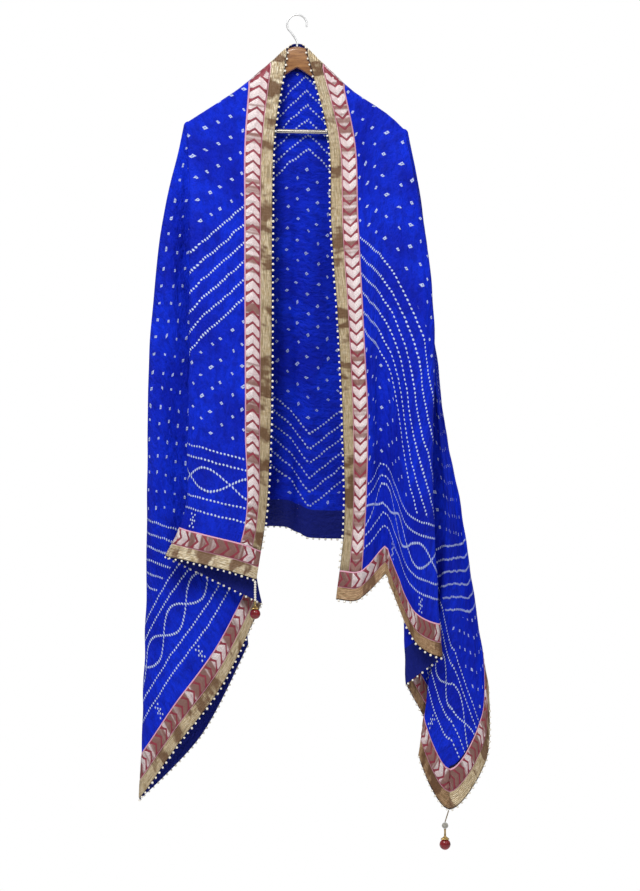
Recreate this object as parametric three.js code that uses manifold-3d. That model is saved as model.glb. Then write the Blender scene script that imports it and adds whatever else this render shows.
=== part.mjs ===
// Dupatta stole hung over a wooden coat hanger. Millimetres, z up, x to the right of someone
// facing the front, y to the back. The origin is the inside top of the hook.
import * as THREE from 'three';
import Module from 'manifold-3d';

const solids = await Module();
solids.setup();

// ---- the cloth, lying flat ----
const WIDTH = 950;                    // neck edge to hem edge
const BORDER = 55;                    // border on all four edges
const GOLD = 23.5;                    // outer, gold part of the border
const CLOTH_WALL = 1.6;
const TRIM_WALL = 1.1;
const SEAM = 0.35;                    // between two pieces that meet
const NECK_LINE = 69;                 // hook's inside top down to the line drops are taken from

// ---- where the neck edge and the arms lie ----
const NECK_REACH = 28;                // cloth from the middle to where the neck edge meets an arm
const TIP_ALONG = 215;                // cloth point over the arm's tip, from the middle
const TIP_ACROSS = 140;               // and from the neck edge
const NECK_X = 18;
const NECK_DROP = -8;
const NAPE_RISE = 17;                 // the neck edge stands this high behind the hanger's neck
const ARM_ROUND = 9;                  // radius the cloth takes over an arm
const ARM_SAG = 90;
const TIP_DROOP = 8;                  // how much lower the cloth rounds over an arm's tip
const SIDES = {
  left: { sign: -1, half: 1045, tipX: 206, tipDrop: 124 },
  right: { sign: 1, half: 1080, tipX: 202, tipDrop: 138 },
};

// Each row is a line down the cloth from the arm to the edge. `edge` and `at` say where on the
// flat cloth it ends, `foot` its drop there, `lean` the direction it leaves the arm in plan,
// `turn` how far back the cloth swings where it folds, `x` and `y` where it is at each LEVELS
// drop and at its foot. `pace` below 1 lets the cloth run down the line's upper part sooner.
const LEVELS = [170, 320, 520, 720, 900];
const LINES = {
  left: [
    { name: 'edge', edge: 'end', at: 0, foot: 1000, lean: -90, turn: 0, x: [43, 46, 47, 49, 60, 76], y: [-16, -34, -48, -56, -60, -62] },
    { name: 'trim', edge: 'end', at: 55, foot: 985, lean: -90, turn: 0, x: [99, 99, 98, 97, 98, 122], y: [-15, -36, -56, -64, -68, -70] },
    { name: 'panel', edge: 'end', at: 140, foot: 966, lean: -90, turn: 0, x: [186, 182, 180, 180, 185, 199], y: [-14, -32, -54, -64, -68, -68] },
    { name: 'lap', edge: 'end', at: 205, foot: 956, lean: -80, turn: 60, x: [198, 203, 202, 205, 219, 246], y: [-14, -27, -44, -54, -56, -56] },
    { name: 'tuck', edge: 'end', at: 428, foot: 1045, lean: -55, turn: 60, x: [204, 200, 168, 130, 95, 66], y: [-11, -15, -24, -32, -36, -38] },
    { name: 'hollow', edge: 'end', at: 620, foot: 1198, lean: -30, turn: 0, x: [211, 222, 222, 212, 190, 139], y: [-9, -8, -8, -10, -12, -16] },
    { name: 'roll', edge: 'end', at: 790, foot: 1317, lean: -15, turn: 0, x: [218, 240, 252, 256, 254, 227], y: [-6, -9, -16, -22, -24, -20] },
    { name: 'corner', edge: 'end', at: 950, foot: 1420, lean: 0, turn: 80, x: [226, 252, 274, 284, 285, 298], y: [0, 2, 6, 8, 8, 0] },
    { name: 'sweep', edge: 'hem', at: 865, foot: 1298, lean: 15, turn: 0, x: [226, 248, 262, 262, 240, 181], y: [3, 9, 17, 22, 24, 20] },
    { name: 'inner', edge: 'hem', at: 695, foot: 1127, lean: 35, turn: 60, x: [222, 204, 172, 140, 116, 94], y: [7, 14, 22, 26, 28, 24] },
    { name: 'outer', edge: 'hem', at: 350, foot: 952, lean: 65, turn: 60, x: [216, 224, 238, 252, 268, 272], y: [10, 26, 44, 54, 60, 60] },
    { name: 'back', edge: 'hem', at: 215, foot: 925, lean: 90, turn: 0, x: [208, 206, 204, 202, 200, 199], y: [13, 32, 52, 64, 70, 70] },
    { name: 'blade', edge: 'hem', at: 120, foot: 908, lean: 90, turn: 0, x: [114, 114, 114, 114, 114, 114], y: [14, 26, 42, 52, 58, 60] },
    { name: 'nape', edge: 'hem', at: 28, foot: 904, lean: 90, turn: 0, x: [26, 26, 26, 26, 26, 26], y: [15, 20, 34, 44, 50, 54] },
    { name: 'middle', edge: 'hem', at: 0, foot: 914, lean: 90, turn: 0, x: [0, 0, 0, 0, 0, 0], y: [16, 24, 40, 50, 56, 60] },
  ],
  right: [
    { name: 'edge', edge: 'end', at: 0, foot: 1037, lean: -90, turn: 0, x: [60, 64, 78, 87, 89, 74], y: [-16, -32, -46, -54, -58, -60] },
    { name: 'trim', edge: 'end', at: 55, foot: 1036, lean: -90, turn: 0, x: [110, 116, 126, 134, 128, 118], y: [-15, -36, -56, -64, -68, -72] },
    { name: 'crease', edge: 'end', at: 115, foot: 990, lean: -90, turn: 0, x: [160, 163, 155, 154, 164, 167], y: [-14, -32, -42, -44, -46, -44] },
    { name: 'panel', edge: 'end', at: 140, foot: 1008, lean: -90, turn: 0, x: [190, 194, 178, 173, 176, 174], y: [-14, -32, -50, -54, -56, -54] },
    { name: 'breast', edge: 'end', at: 290, foot: 1116, lean: -84, turn: 0, x: [206, 226, 242, 212, 208, 222], y: [-12, -30, -54, -66, -70, -70] },
    { name: 'lap', edge: 'end', at: 420, foot: 1146, lean: -65, turn: 60, x: [212, 236, 256, 254, 258, 272], y: [-9, -22, -42, -52, -56, -54] },
    { name: 'tuck', edge: 'end', at: 545, foot: 1198, lean: -45, turn: 60, x: [217, 228, 222, 206, 200, 205], y: [-6, -10, -20, -28, -32, -34] },
    { name: 'furl', edge: 'end', at: 720, foot: 1315, lean: -30, turn: 0, x: [218, 234, 242, 250, 260, 264], y: [-4, -5, -9, -12, -14, -12], pace: 1.065 },
    { name: 'curl', edge: 'end', at: 805, foot: 1334, lean: -18, turn: 0, x: [219, 236, 250, 266, 282, 230], y: [-2, -5, -11, -17, -22, -36], pace: 0.96 },
    { name: 'corner', edge: 'end', at: 950, foot: 1436, lean: -8, turn: 0, x: [220, 239, 254, 272, 292, 288], y: [-1, -3, -9, -15, -19, -26], pace: 0.935 },
    { name: 'drop', edge: 'hem', at: 890, foot: 1340, lean: -2, turn: 0, x: [221, 241, 257, 279, 306, 360], y: [0, 0, -4, -8, -10, -12] },
    { name: 'side', edge: 'hem', at: 750, foot: 1205, lean: 6, turn: 80, x: [222, 242, 259, 284, 316, 362], y: [2, 5, 7, 8, 8, 8], pace: 0.925 },
    { name: 'inner', edge: 'hem', at: 560, foot: 1062, lean: 35, turn: 60, x: [219, 214, 208, 204, 206, 214], y: [6, 14, 24, 30, 32, 30] },
    { name: 'outer', edge: 'hem', at: 350, foot: 972, lean: 65, turn: 60, x: [215, 226, 244, 266, 288, 292], y: [10, 28, 46, 56, 62, 62] },
    { name: 'back', edge: 'hem', at: 215, foot: 940, lean: 90, turn: 0, x: [206, 206, 204, 202, 200, 199], y: [13, 34, 54, 66, 72, 72] },
    { name: 'blade', edge: 'hem', at: 120, foot: 928, lean: 90, turn: 0, x: [114, 114, 114, 114, 114, 114], y: [14, 26, 42, 52, 58, 60] },
    { name: 'nape', edge: 'hem', at: 28, foot: 925, lean: 90, turn: 0, x: [26, 26, 26, 26, 26, 26], y: [15, 20, 34, 44, 50, 54] },
    { name: 'middle', edge: 'hem', at: 0, foot: 914, lean: 90, turn: 0, x: [0, 0, 0, 0, 0, 0], y: [16, 24, 40, 50, 56, 60] },
  ],
};

// ---- hanger and tassels ----
const ARM_HALF = 6.6;                 // half the wood's thickness
const ARM_HEIGHT = 40;
const ARM_CLEAR = 2.2;                // wood's top edge below the cloth's middle
const ARM_HOLLOW = 24;                // and lower still midway along an arm
const ARM_ROLL = 7;                   // and rounded down towards its tip
const WOOD_TOP = -10;                 // drop of the wood's top in the middle
const NOTCH = { drop: 30, slope: 0.64, reach: 30 };   // under the wood's middle
const BAR_RADIUS = 4.5;
const BAR_DROP = { left: 147, right: 155 };
const BAR_REACH = 192;
const WIRE_RADIUS = 1.9;
const HOOK_INSIDE = 17;
const TASSEL_LEFT = { x: -78, y: -63, top: 1001, beads: 8, pitch: 4.7, bead: 1063, size: 20 };
const TASSEL_RIGHT = { x: 280, y: -27, top: 1437, glass: 1466, bead: 1501, size: 21 };

// ---- smooth curves ----
function through(knots, values, at) {
  const n = knots.length;
  const gap = (i) => knots[i + 1] - knots[i];
  const rate = (i) => (values[i + 1] - values[i]) / gap(i);
  const slope = (i) => {
    if (i === 0) return rate(0);
    if (i === n - 1) return rate(n - 2);
    return (rate(i - 1) * gap(i) + rate(i) * gap(i - 1)) / (gap(i - 1) + gap(i));
  };
  let i = 0;
  while (i < n - 2 && at > knots[i + 1]) i += 1;
  const f = (at - knots[i]) / gap(i);
  return blend(f, values[i], slope(i) * gap(i), values[i + 1], slope(i + 1) * gap(i));
}

function blend(f, a, da, b, db) {
  const f2 = f * f, f3 = f2 * f;
  return (2 * f3 - 3 * f2 + 1) * a + (f3 - 2 * f2 + f) * da + (3 * f2 - 2 * f3) * b + (f3 - f2) * db;
}

const ease = (f) => { const c = Math.min(1, Math.max(0, f)); return c * c * (3 - 2 * c); };

// ---- one line down the cloth ----
function ridge(side, q) {
  const sag = ARM_SAG * q * (1 - q) * (1 - q) + TIP_DROOP * q ** 8;
  return { x: NECK_X + q * (side.tipX - NECK_X), drop: NECK_DROP + q * (side.tipDrop - NECK_DROP) + sag };
}

function makeLine(side, row) {
  const nape = row.edge === 'hem' && row.at < NECK_REACH;
  const q = row.edge === 'end' ? Math.min(1, row.at / TIP_ACROSS)
    : Math.min(1, Math.max(0, (row.at - NECK_REACH) / (TIP_ALONG - NECK_REACH)));
  const top = ridge(side, q);
  let along = NECK_REACH + q * (TIP_ALONG - NECK_REACH), across = q * TIP_ACROSS, start = 0;
  if (nape) {
    const s = 1 - row.at / NECK_REACH;
    top.x = NECK_X * (1 - s);
    top.drop = NECK_DROP - (NAPE_RISE + ARM_ROUND + NECK_DROP) * s;
    along = row.at; across = 0; start = ARM_ROUND * Math.PI / 2 * s;
  }
  const length = row.edge === 'end' ? Math.hypot(side.half - along, row.at - across)
    : Math.hypot(row.at - along, WIDTH - across);
  const depth = row.edge === 'end' ? side.half - along : WIDTH - across;
  const lean = row.lean * Math.PI / 180;
  const out = [Math.cos(lean), Math.sin(lean)];
  const skip = LEVELS[0] - (top.drop + ARM_ROUND) < 30 ? 1 : 0;
  const knots = [top.drop + ARM_ROUND, ...LEVELS.slice(skip), row.foot];
  const xs = [top.x + ARM_ROUND * out[0], ...row.x.slice(skip)];
  const ys = [ARM_ROUND * out[1], ...row.y.slice(skip)];
  return { row, top, out, start, length, depth, knots, xs, ys };
}

function onLine(line, share) {
  const quarter = ARM_ROUND * Math.PI / 2;
  const run = line.start + share * line.length;
  if (run < quarter) {
    const w = run / ARM_ROUND, r = ARM_ROUND * Math.sin(w);
    return [line.top.x + r * line.out[0], r * line.out[1], line.top.drop + ARM_ROUND * (1 - Math.cos(w))];
  }
  const rest = ((run - quarter) / (line.start + line.length - quarter)) ** (line.row.pace ?? 1);
  const drop = line.top.drop + ARM_ROUND + rest * (line.row.foot - line.top.drop - ARM_ROUND);
  return [through(line.knots, line.xs, drop), through(line.knots, line.ys, drop), drop];
}

// ---- the cloth between two lines ----
function heading(side, lines, k, share) {
  const here = onLine(lines[k], share), last = lines.length - 1;
  const before = k > 0 ? onLine(lines[k - 1], share) : here;
  const after = k < last ? onLine(lines[k + 1], share) : here;
  const n = k > 0 && k < last ? 2 : 1;
  const m = after.map((c, i) => (c - before[i]) / n);
  if (k === last) { m[1] = 0; m[2] = 0; }
  if (lines[k].row.turn) {
    const g = ease((here[2] - side.tipDrop - ARM_ROUND) / 260);
    m[0] *= 1 - g; m[1] = m[1] * (1 - g) + lines[k].row.turn * g; m[2] *= 1 - g;
  }
  return m;
}

function onCloth(side, lines, k, part, share) {
  const a = onLine(lines[k], share), b = onLine(lines[k + 1], share);
  const span = Math.hypot(b[0] - a[0], b[1] - a[1], b[2] - a[2]);
  const limit = (m) => {
    const n = Math.hypot(...m), s = Math.min(1, (1.5 * span + 8) / Math.max(n, 1e-6));
    return m.map((c) => c * s);
  };
  const ma = limit(heading(side, lines, k, share)), mb = limit(heading(side, lines, k + 1, share));
  const STEPS = 48, curve = [];
  for (let i = 0; i <= STEPS; i += 1) curve.push([0, 1, 2].map((c) => blend(i / STEPS, a[c], ma[c], b[c], mb[c])));
  const far = [0];
  for (let i = 1; i <= STEPS; i += 1) {
    far.push(far[i - 1] + Math.hypot(...[0, 1, 2].map((c) => curve[i][c] - curve[i - 1][c])));
  }
  const want = part * far[STEPS];
  let i = 0;
  while (i < STEPS - 1 && far[i + 1] < want) i += 1;
  const f = far[i + 1] > far[i] ? (want - far[i]) / (far[i + 1] - far[i]) : 0;
  const p = [0, 1, 2].map((c) => curve[i][c] + f * (curve[i + 1][c] - curve[i][c]));
  return new THREE.Vector3(side.sign * p[0], p[1], -(p[2] + NECK_LINE));
}

// ---- grids of cloth points ----
// A column is one line, or a share of the way to the next; a row is the same station down each.
const DOWN = 11;                      // stations between the arm and the border
function stations({ length, depth }, from) {
  const quarter = ARM_ROUND * Math.PI / 2, first = 46 / length, end = 1 - BORDER / depth;
  const shares = [from, 7.5, quarter + 0.2].map((r) => r / length);
  for (let i = 0; i <= DOWN; i += 1) shares.push(first + (end - first) * i / DOWN);
  return [...shares, 1 - GOLD / depth, 1];
}

function columnsOf(side, lines, steps, from, to) {
  const cols = [];
  for (let k = from; k < to; k += 1) {
    const parts = steps(lines[k].row, lines[k + 1].row);
    for (const part of k === to - 1 ? [...parts, 1] : parts) cols.push({ k, part });
  }
  return cols.map(({ k, part }) => {
    const mix = (key) => lines[k][key] + part * (lines[k + 1][key] - lines[k][key]);
    return { k, part, length: mix('length'), depth: part === 0 ? lines[k].depth : mix('depth') };
  });
}

function gridOf(side, lines, cols, from) {
  return cols.map((c) => stations(c, from).map((s) => onCloth(side, lines, c.k, c.part, s)));
}

// A grid's own piece for a strip of trim, drawn in a little on the sides named.
function pieceOf(grid, i0, i1, j0, j1, draw = {}) {
  const part = grid.slice(i0, i1 + 1).map((col) => col.slice(j0, j1 + 1).map((p) => p.clone()));
  const pull = (p, q) => { const d = q.clone().sub(p); p.addScaledVector(d, SEAM * 0.6 / d.length()); };
  const n = part.length - 1, m = part[0].length - 1;
  for (const col of part) {
    if (draw.start) pull(col[0], col[1]);
    if (draw.end) pull(col[m], col[m - 1]);
  }
  for (let j = 0; j <= m; j += 1) {
    if (draw.first) pull(part[0][j], part[1][j]);
    if (draw.last) pull(part[n][j], part[n - 1][j]);
  }
  return part;
}

function normalsOf(grid) {
  const n = grid.length, m = grid[0].length;
  const out = grid.map((col) => col.map(() => new THREE.Vector3()));
  const tri = (a, b, c) => new THREE.Vector3().crossVectors(b.clone().sub(a), c.clone().sub(a));
  for (let i = 0; i < n - 1; i += 1) {
    for (let j = 0; j < m - 1; j += 1) {
      const [a, b, c, d] = [grid[i][j], grid[i + 1][j], grid[i + 1][j + 1], grid[i][j + 1]];
      const f = tri(a, c, b).add(tri(a, d, c));
      const size = f.length();
      if (size < 1e-9) continue;
      f.multiplyScalar(1 / size);
      out[i][j].add(f); out[i + 1][j].add(f); out[i + 1][j + 1].add(f); out[i][j + 1].add(f);
    }
  }
  return out.map((col) => col.map((v) => (v.lengthSq() > 0 ? v.normalize() : v.set(0, 0, 1))));
}

// A shell of even wall between two offsets from a grid, closed round its rim.
function shell(grid, normals, low, high) {
  const n = grid.length, m = grid[0].length, points = [], tris = [];
  const id = (i, j, s) => (i * m + j) * 2 + s;
  for (let i = 0; i < n; i += 1) {
    for (let j = 0; j < m; j += 1) {
      points.push(grid[i][j].clone().addScaledVector(normals[i][j], low));
      points.push(grid[i][j].clone().addScaledVector(normals[i][j], high));
    }
  }
  const quad = (a, b, c, d) => { tris.push([a, b, c], [a, c, d]); };
  for (let i = 0; i < n - 1; i += 1) {
    for (let j = 0; j < m - 1; j += 1) {
      quad(id(i, j, 1), id(i, j + 1, 1), id(i + 1, j + 1, 1), id(i + 1, j, 1));
      quad(id(i, j, 0), id(i + 1, j, 0), id(i + 1, j + 1, 0), id(i, j + 1, 0));
    }
  }
  for (let i = 0; i < n - 1; i += 1) {
    quad(id(i, 0, 0), id(i, 0, 1), id(i + 1, 0, 1), id(i + 1, 0, 0));
    quad(id(i, m - 1, 0), id(i + 1, m - 1, 0), id(i + 1, m - 1, 1), id(i, m - 1, 1));
  }
  for (let j = 0; j < m - 1; j += 1) {
    quad(id(0, j, 0), id(0, j + 1, 0), id(0, j + 1, 1), id(0, j, 1));
    quad(id(n - 1, j, 0), id(n - 1, j, 1), id(n - 1, j + 1, 1), id(n - 1, j + 1, 0));
  }
  return { points, tris };
}

// ---- turned and swept pieces ----
function loft(rings) {
  const n = rings[0].length, points = rings.flat(), tris = [];
  for (let i = 0; i < rings.length - 1; i += 1) {
    for (let j = 0; j < n; j += 1) {
      const a = i * n + j, b = i * n + (j + 1) % n;
      tris.push([a, b, b + n], [a, b + n, a + n]);
    }
  }
  const centre = (ring) => ring.reduce((s, p) => s.add(p), new THREE.Vector3()).multiplyScalar(1 / n);
  points.push(centre(rings[0]), centre(rings[rings.length - 1]));
  const last = (rings.length - 1) * n;
  for (let j = 0; j < n; j += 1) {
    tris.push([points.length - 2, (j + 1) % n, j], [points.length - 1, last + j, last + (j + 1) % n]);
  }
  return { points, tris };
}

function turned(x, y, profile, n) {
  return loft(profile.map(([drop, radius]) => Array.from({ length: n }, (_, j) => {
    const a = (2 * Math.PI * j) / n;
    return new THREE.Vector3(x + radius * Math.cos(a), y + radius * Math.sin(a), -(drop + NECK_LINE));
  })));
}

function wire(path, radius, n) {
  return loft(path.map((p, i) => {
    const before = path[Math.max(0, i - 1)], after = path[Math.min(path.length - 1, i + 1)];
    const ahead = after.clone().sub(before).normalize();
    const side = new THREE.Vector3(0, 1, 0), up = new THREE.Vector3().crossVectors(ahead, side).normalize();
    return Array.from({ length: n }, (_, j) => {
      const a = (2 * Math.PI * j) / n;
      return p.clone().addScaledVector(side, radius * Math.cos(a)).addScaledVector(up, radius * Math.sin(a));
    });
  }));
}

function weld({ points, tris }) {
  const seen = new Map(), kept = [], ids = points.map((p) => {
    const key = [p.x, p.y, p.z].map((c) => Math.round(c * 500)).join(',');
    if (!seen.has(key)) { seen.set(key, kept.length); kept.push(p); }
    return seen.get(key);
  });
  const faces = tris.map((t) => t.map((i) => ids[i])).filter(([a, b, c]) => a !== b && b !== c && c !== a);
  return { points: kept, tris: faces };
}

function volume({ points, tris }) {
  return tris.reduce((s, [a, b, c]) => s + points[a].dot(new THREE.Vector3().crossVectors(points[b], points[c])), 0) / 6;
}

const group = new THREE.Group();
group.name = 'dupatta_stole';
const finish = (color, roughness, metalness = 0, extra = {}) => new THREE.MeshStandardMaterial({ color, roughness, metalness, ...extra });

function add(name, body, material) {
  const whole = weld(body);
  const turnedOut = volume(whole) < 0 ? whole.tris.map(([a, b, c]) => [a, c, b]) : whole.tris;
  const geometry = new THREE.BufferGeometry();
  geometry.setAttribute('position', new THREE.Float32BufferAttribute(whole.points.flatMap((p) => [p.x, p.y, p.z]), 3));
  geometry.setIndex(turnedOut.flat());
  geometry.computeVertexNormals();
  const mesh = new THREE.Mesh(geometry, material);
  mesh.name = name;
  group.add(mesh);
  return mesh;
}

const CLOTH = finish(0x1c30d0, 0.55);
const GOLD_TISSUE = finish(0xd8c48e, 0.45, 0.4);
const GOTA = finish(0xc06a78, 0.5);
const WOOD = finish(0xa8703c, 0.35);
const CHROME = finish(0xd0d2d4, 0.2, 0.9);
const RED = finish(0xa01626, 0.3);
const PEARL = finish(0xefe8da, 0.3);
const GLASS = finish(0xe6e2d8, 0.1);
const BRASS = finish(0xcaa24a, 0.3, 0.8);

// ---- cloth ----
const halfWall = CLOTH_WALL / 2;
const trimLow = halfWall + SEAM, trimHigh = trimLow + TRIM_WALL;
const FLAT = [0, 0.5], SOFT = [0, 0.33, 0.67], FOLD = [0, 0.2, 0.42, 0.6, 0.8];
function share(a, b) {
  if (a.name === 'edge' && b.name === 'trim') return [0, GOLD / BORDER];
  if (a.turn && b.turn) return FOLD;
  if (a.turn || b.turn) return [0, 0.25, 0.5, 0.75];
  if (a.name === 'nape' || b.name === 'nape') return FLAT;
  return SOFT;
}

const outward = (normals, wrong) => (wrong ? normals.map((col) => col.map((v) => v.negate())) : normals);
const halves = {};
for (const [word, side] of Object.entries(SIDES)) {
  const lines = LINES[word].map((row) => makeLine(side, row));
  const find = (name) => lines.findIndex((l) => l.row.name === name);
  const cols = columnsOf(side, lines, share, 0, find('back'));
  cols[cols.length - 1].part = 0.994;
  const grid = gridOf(side, lines, cols, 0.4);
  const tip = onCloth(side, lines, find('lap'), 0, 0);
  cols.forEach((c, i) => { if (c.k >= find('panel')) grid[i][0].copy(tip); });
  const normals = outward(normalsOf(grid), side.sign < 0);
  cols.forEach((c, i) => { if (c.k >= find('panel')) normals[i][0].set(0, 0, 1); });
  add(`cloth_${word}`, shell(grid, normals, -halfWall, halfWall), CLOTH);
  const at = (name) => cols.findIndex((c) => c.k === find(name));
  halves[word] = { side, lines, find, cols, grid, normals, gold: at('trim') - 1, trim: at('trim'), corner: at('corner') };
}

const backColumns = (h) => {
  const cols = columnsOf(h.side, h.lines, share, h.find('back'), h.find('middle'));
  return gridOf(h.side, h.lines, cols, 1.8);
};
const backWhole = [...backColumns(halves.left), ...backColumns(halves.right).reverse().slice(1)];
const back = pieceOf(backWhole, 0, backWhole.length - 1, 0, backWhole[0].length - 1, { first: true, last: true });
const backNormals = outward(normalsOf(back), true);
add('cloth_back', shell(back, backNormals, -halfWall, halfWall), CLOTH);

// ---- border, on the points of the cloth under it ----
const rows = back[0].length - 1;
function strip(name, grid, normals, [i0, i1, j0, j1], draw, material, lift = 0) {
  const part = pieceOf(grid, i0, i1, j0, j1, draw);
  const facing = normals.slice(i0, i1 + 1).map((col) => col.slice(j0, j1 + 1));
  add(name, shell(part, facing, trimLow + lift, trimHigh + lift), material);
}
for (const [word, { grid, normals, gold, trim, corner }] of Object.entries(halves)) {
  strip(`front_gold_${word}`, grid, normals, [0, gold, 0, rows - 2], { last: true, end: true }, GOLD_TISSUE);
  strip(`front_patti_${word}`, grid, normals, [gold, trim, 0, rows - 2], { first: true, end: true }, GOTA);
  strip(`end_patti_${word}`, grid, normals, [0, corner, rows - 2, rows - 1], { start: true, end: true, last: true }, GOTA);
  strip(`end_gold_${word}`, grid, normals, [0, corner, rows - 1, rows], { start: true, last: true }, GOLD_TISSUE);
}
const { left, right } = halves;
const hem = [...left.grid.slice(left.corner, -1), ...back, ...right.grid.slice(right.corner, -1).reverse()];
const hemNormals = [...left.normals.slice(left.corner, -1), ...backNormals,
  ...right.normals.slice(right.corner, -1).reverse()];
const across = hem.length - 1;
strip('hem_patti', hem, hemNormals, [0, across, rows - 2, rows - 1], { first: true, last: true, end: true }, GOTA);
strip('hem_gold', hem, hemNormals, [0, across, rows - 1, rows], { first: true, last: true, start: true }, GOLD_TISSUE);

// Behind the neck the border narrows to nothing where it runs over the arms.
function behindNeck(alongs, from, to) {
  const column = (h, a) => {
    const k = a < NECK_REACH ? h.find('nape') : h.find('blade');
    const [wide, narrow] = [h.lines[k].row.at, h.lines[k + 1].row.at];
    const over = Math.max(0, (a - NECK_REACH) / (TIP_ALONG - NECK_REACH)) * TIP_ACROSS;
    const low = Math.max(from, over + 1.4);
    return [0, 0.25, 0.5, 0.75, 1].map((f) => {
      const b = low + f * (to - low);
      return onCloth(h.side, h.lines, k, (wide - a) / (wide - narrow), (b - over) / (WIDTH - over));
    });
  };
  return [...alongs.map((a) => column(left, a)), ...alongs.slice(0, -1).reverse().map((a) => column(right, a))];
}
const napeStrip = (name, alongs, from, to, material) => {
  const grid = behindNeck(alongs, from, to);
  const normals = outward(normalsOf(grid), true);
  add(name, shell(grid, normals, trimLow + 1.9, trimHigh + 1.9), material);
};
napeStrip('nape_gold', [54, 42, 30, 20, 10, 0], 0, GOLD - 0.5, GOLD_TISSUE);
napeStrip('nape_patti', [96, 80, 66, 54, 42, 30, 20, 10, 0], GOLD + 0.5, BORDER, GOTA);

// ---- hanger ----
const armTop = (x) => {
  const side = x < 0 ? SIDES.left : SIDES.right, reach = Math.abs(x);
  if (reach < NECK_X) return WOOD_TOP + (NECK_DROP + ARM_CLEAR - WOOD_TOP) * (reach / NECK_X) ** 2;
  const q = Math.min(1, (reach - NECK_X) / (side.tipX - NECK_X));
  return ridge(side, q).drop + ARM_CLEAR + ARM_HOLLOW * q * (1 - q) + ARM_ROLL * q ** 6;
};
function woodSection(x, shrink = 1) {
  const top = armTop(x), reach = Math.abs(x), half = ARM_HALF * shrink;
  const low = reach < NOTCH.reach ? NOTCH.drop + NOTCH.slope * reach : top + ARM_HEIGHT - 5 * (reach / 200) ** 2;
  const cut = (1 - shrink) * 12, N = 8;
  const ring = [];
  for (let j = 0; j <= N; j += 1) {
    const a = (Math.PI * j) / N;
    ring.push(new THREE.Vector3(x, half * Math.cos(a), -(top + cut + ARM_HALF - ARM_HALF * Math.sin(a) + NECK_LINE)));
  }
  for (let j = 0; j <= N; j += 1) {
    const a = (Math.PI * j) / N;
    ring.push(new THREE.Vector3(x, -half * Math.cos(a), -(low - cut - 3 + 3 * Math.sin(a) + NECK_LINE)));
  }
  return ring;
}
const toSolid = (body) => {
  const w = weld(body);
  const tris = volume(w) < 0 ? w.tris.map(([a, b, c]) => [a, c, b]) : w.tris;
  return new solids.Manifold(new solids.Mesh({
    numProp: 3,
    vertProperties: new Float32Array(w.points.flatMap((p) => [p.x, p.y, p.z])),
    triVerts: new Uint32Array(tris.flat()),
  }));
};
const toBody = (solid) => {
  const m = solid.getMesh(), points = [], tris = [];
  for (let i = 0; i < m.vertProperties.length; i += m.numProp) {
    points.push(new THREE.Vector3(m.vertProperties[i], m.vertProperties[i + 1], m.vertProperties[i + 2]));
  }
  for (let i = 0; i < m.triVerts.length; i += 3) tris.push([m.triVerts[i], m.triVerts[i + 1], m.triVerts[i + 2]]);
  return { points, tris };
};
const woodXs = [];
for (let x = -200; x <= 196; x += 12) woodXs.push(x);
const wood = loft([woodSection(-205, 0.6), ...[...woodXs, 0].sort((a, b) => a - b)
  .filter((x, i, all) => i === 0 || x !== all[i - 1]).map((x) => woodSection(x)), woodSection(201, 0.6)]);
const barEnds = (reach) => [
  new THREE.Vector3(-reach, 0, -(BAR_DROP.left + NECK_LINE)),
  new THREE.Vector3(reach - 4, 0, -(BAR_DROP.right + NECK_LINE)),
];
const socket = toSolid(wire(barEnds(BAR_REACH + SEAM), BAR_RADIUS + SEAM, 16));
add('hanger_wood', toBody(toSolid(wood).subtract(socket)), WOOD);
add('trouser_bar', wire(barEnds(BAR_REACH), BAR_RADIUS, 16), CHROME);
const hookAt = (x, drop) => new THREE.Vector3(x, 0, -(drop + NECK_LINE));
const bend = HOOK_INSIDE + WIRE_RADIUS, hookMiddle = HOOK_INSIDE - NECK_LINE;
const turns = Array.from({ length: 9 }, (_, i) => {
  const a = ((235 - i * 31) * Math.PI) / 180;
  return hookAt(bend * Math.cos(a), hookMiddle - bend * Math.sin(a));
});
const hookPath = new THREE.CatmullRomCurve3([hookAt(0, WOOD_TOP - SEAM), hookAt(0, WOOD_TOP - 9), ...turns], false, 'centripetal');
add('hook', wire(hookPath.getSpacedPoints(44), WIRE_RADIUS, 10), CHROME);

// ---- tassels ----
const ball = (middle, radius, n, cutTop = 0) => Array.from({ length: n + 1 }, (_, i) => {
  const a = cutTop + ((Math.PI - cutTop) * i) / n;
  return [middle - radius * Math.cos(a), Math.max(0.25, radius * Math.sin(a))];
});
{
  const t = TASSEL_LEFT, chain = [];
  for (let i = 0; i < t.beads; i += 1) {
    const top = t.top + 1 + i * t.pitch;
    chain.push([top, 0.8], [top + 0.9, 2.0], [top + 2.3, 2.4], [top + 3.7, 2.0]);
  }
  chain.push([t.top + 1 + t.beads * t.pitch, 0.8]);
  add('tassel_left_beads', turned(t.x, t.y, [[t.top, 0.8], ...chain], 10), PEARL);
}
function bell(name, x, y, top, bead, size) {
  const cup = bead - size / 2;
  add(`${name}_cap`, turned(x, y, [[top, 1.6], [top + 1.5, 2.6], [top + 3, 1.8], [cup - 4, 2.2], [cup - 2.4, 5],
    [cup + 0.6, 8.2], [cup + 1.6, 7.6], [cup - 0.4, 4.4], [cup - 1.2, 1]], 16), BRASS);
  add(`${name}_bead`, turned(x, y, ball(bead + 0.4, size / 2, 9), 18), RED);
}
bell('tassel_left', TASSEL_LEFT.x, TASSEL_LEFT.y, TASSEL_LEFT.top + 2 + TASSEL_LEFT.beads * TASSEL_LEFT.pitch,
  TASSEL_LEFT.bead, TASSEL_LEFT.size);
const r = TASSEL_RIGHT;
add('tassel_right_thread', wire([hookAt(287, r.top), hookAt(r.x, r.glass - 6.8)].map((p) => p.setY(r.y)), 1.1, 8), PEARL);
add('tassel_right_glass', turned(r.x, r.y, ball(r.glass, 6.2, 7), 14), GLASS);
bell('tassel_right', r.x, r.y, r.glass + 6.6, r.bead, r.size);

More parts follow.
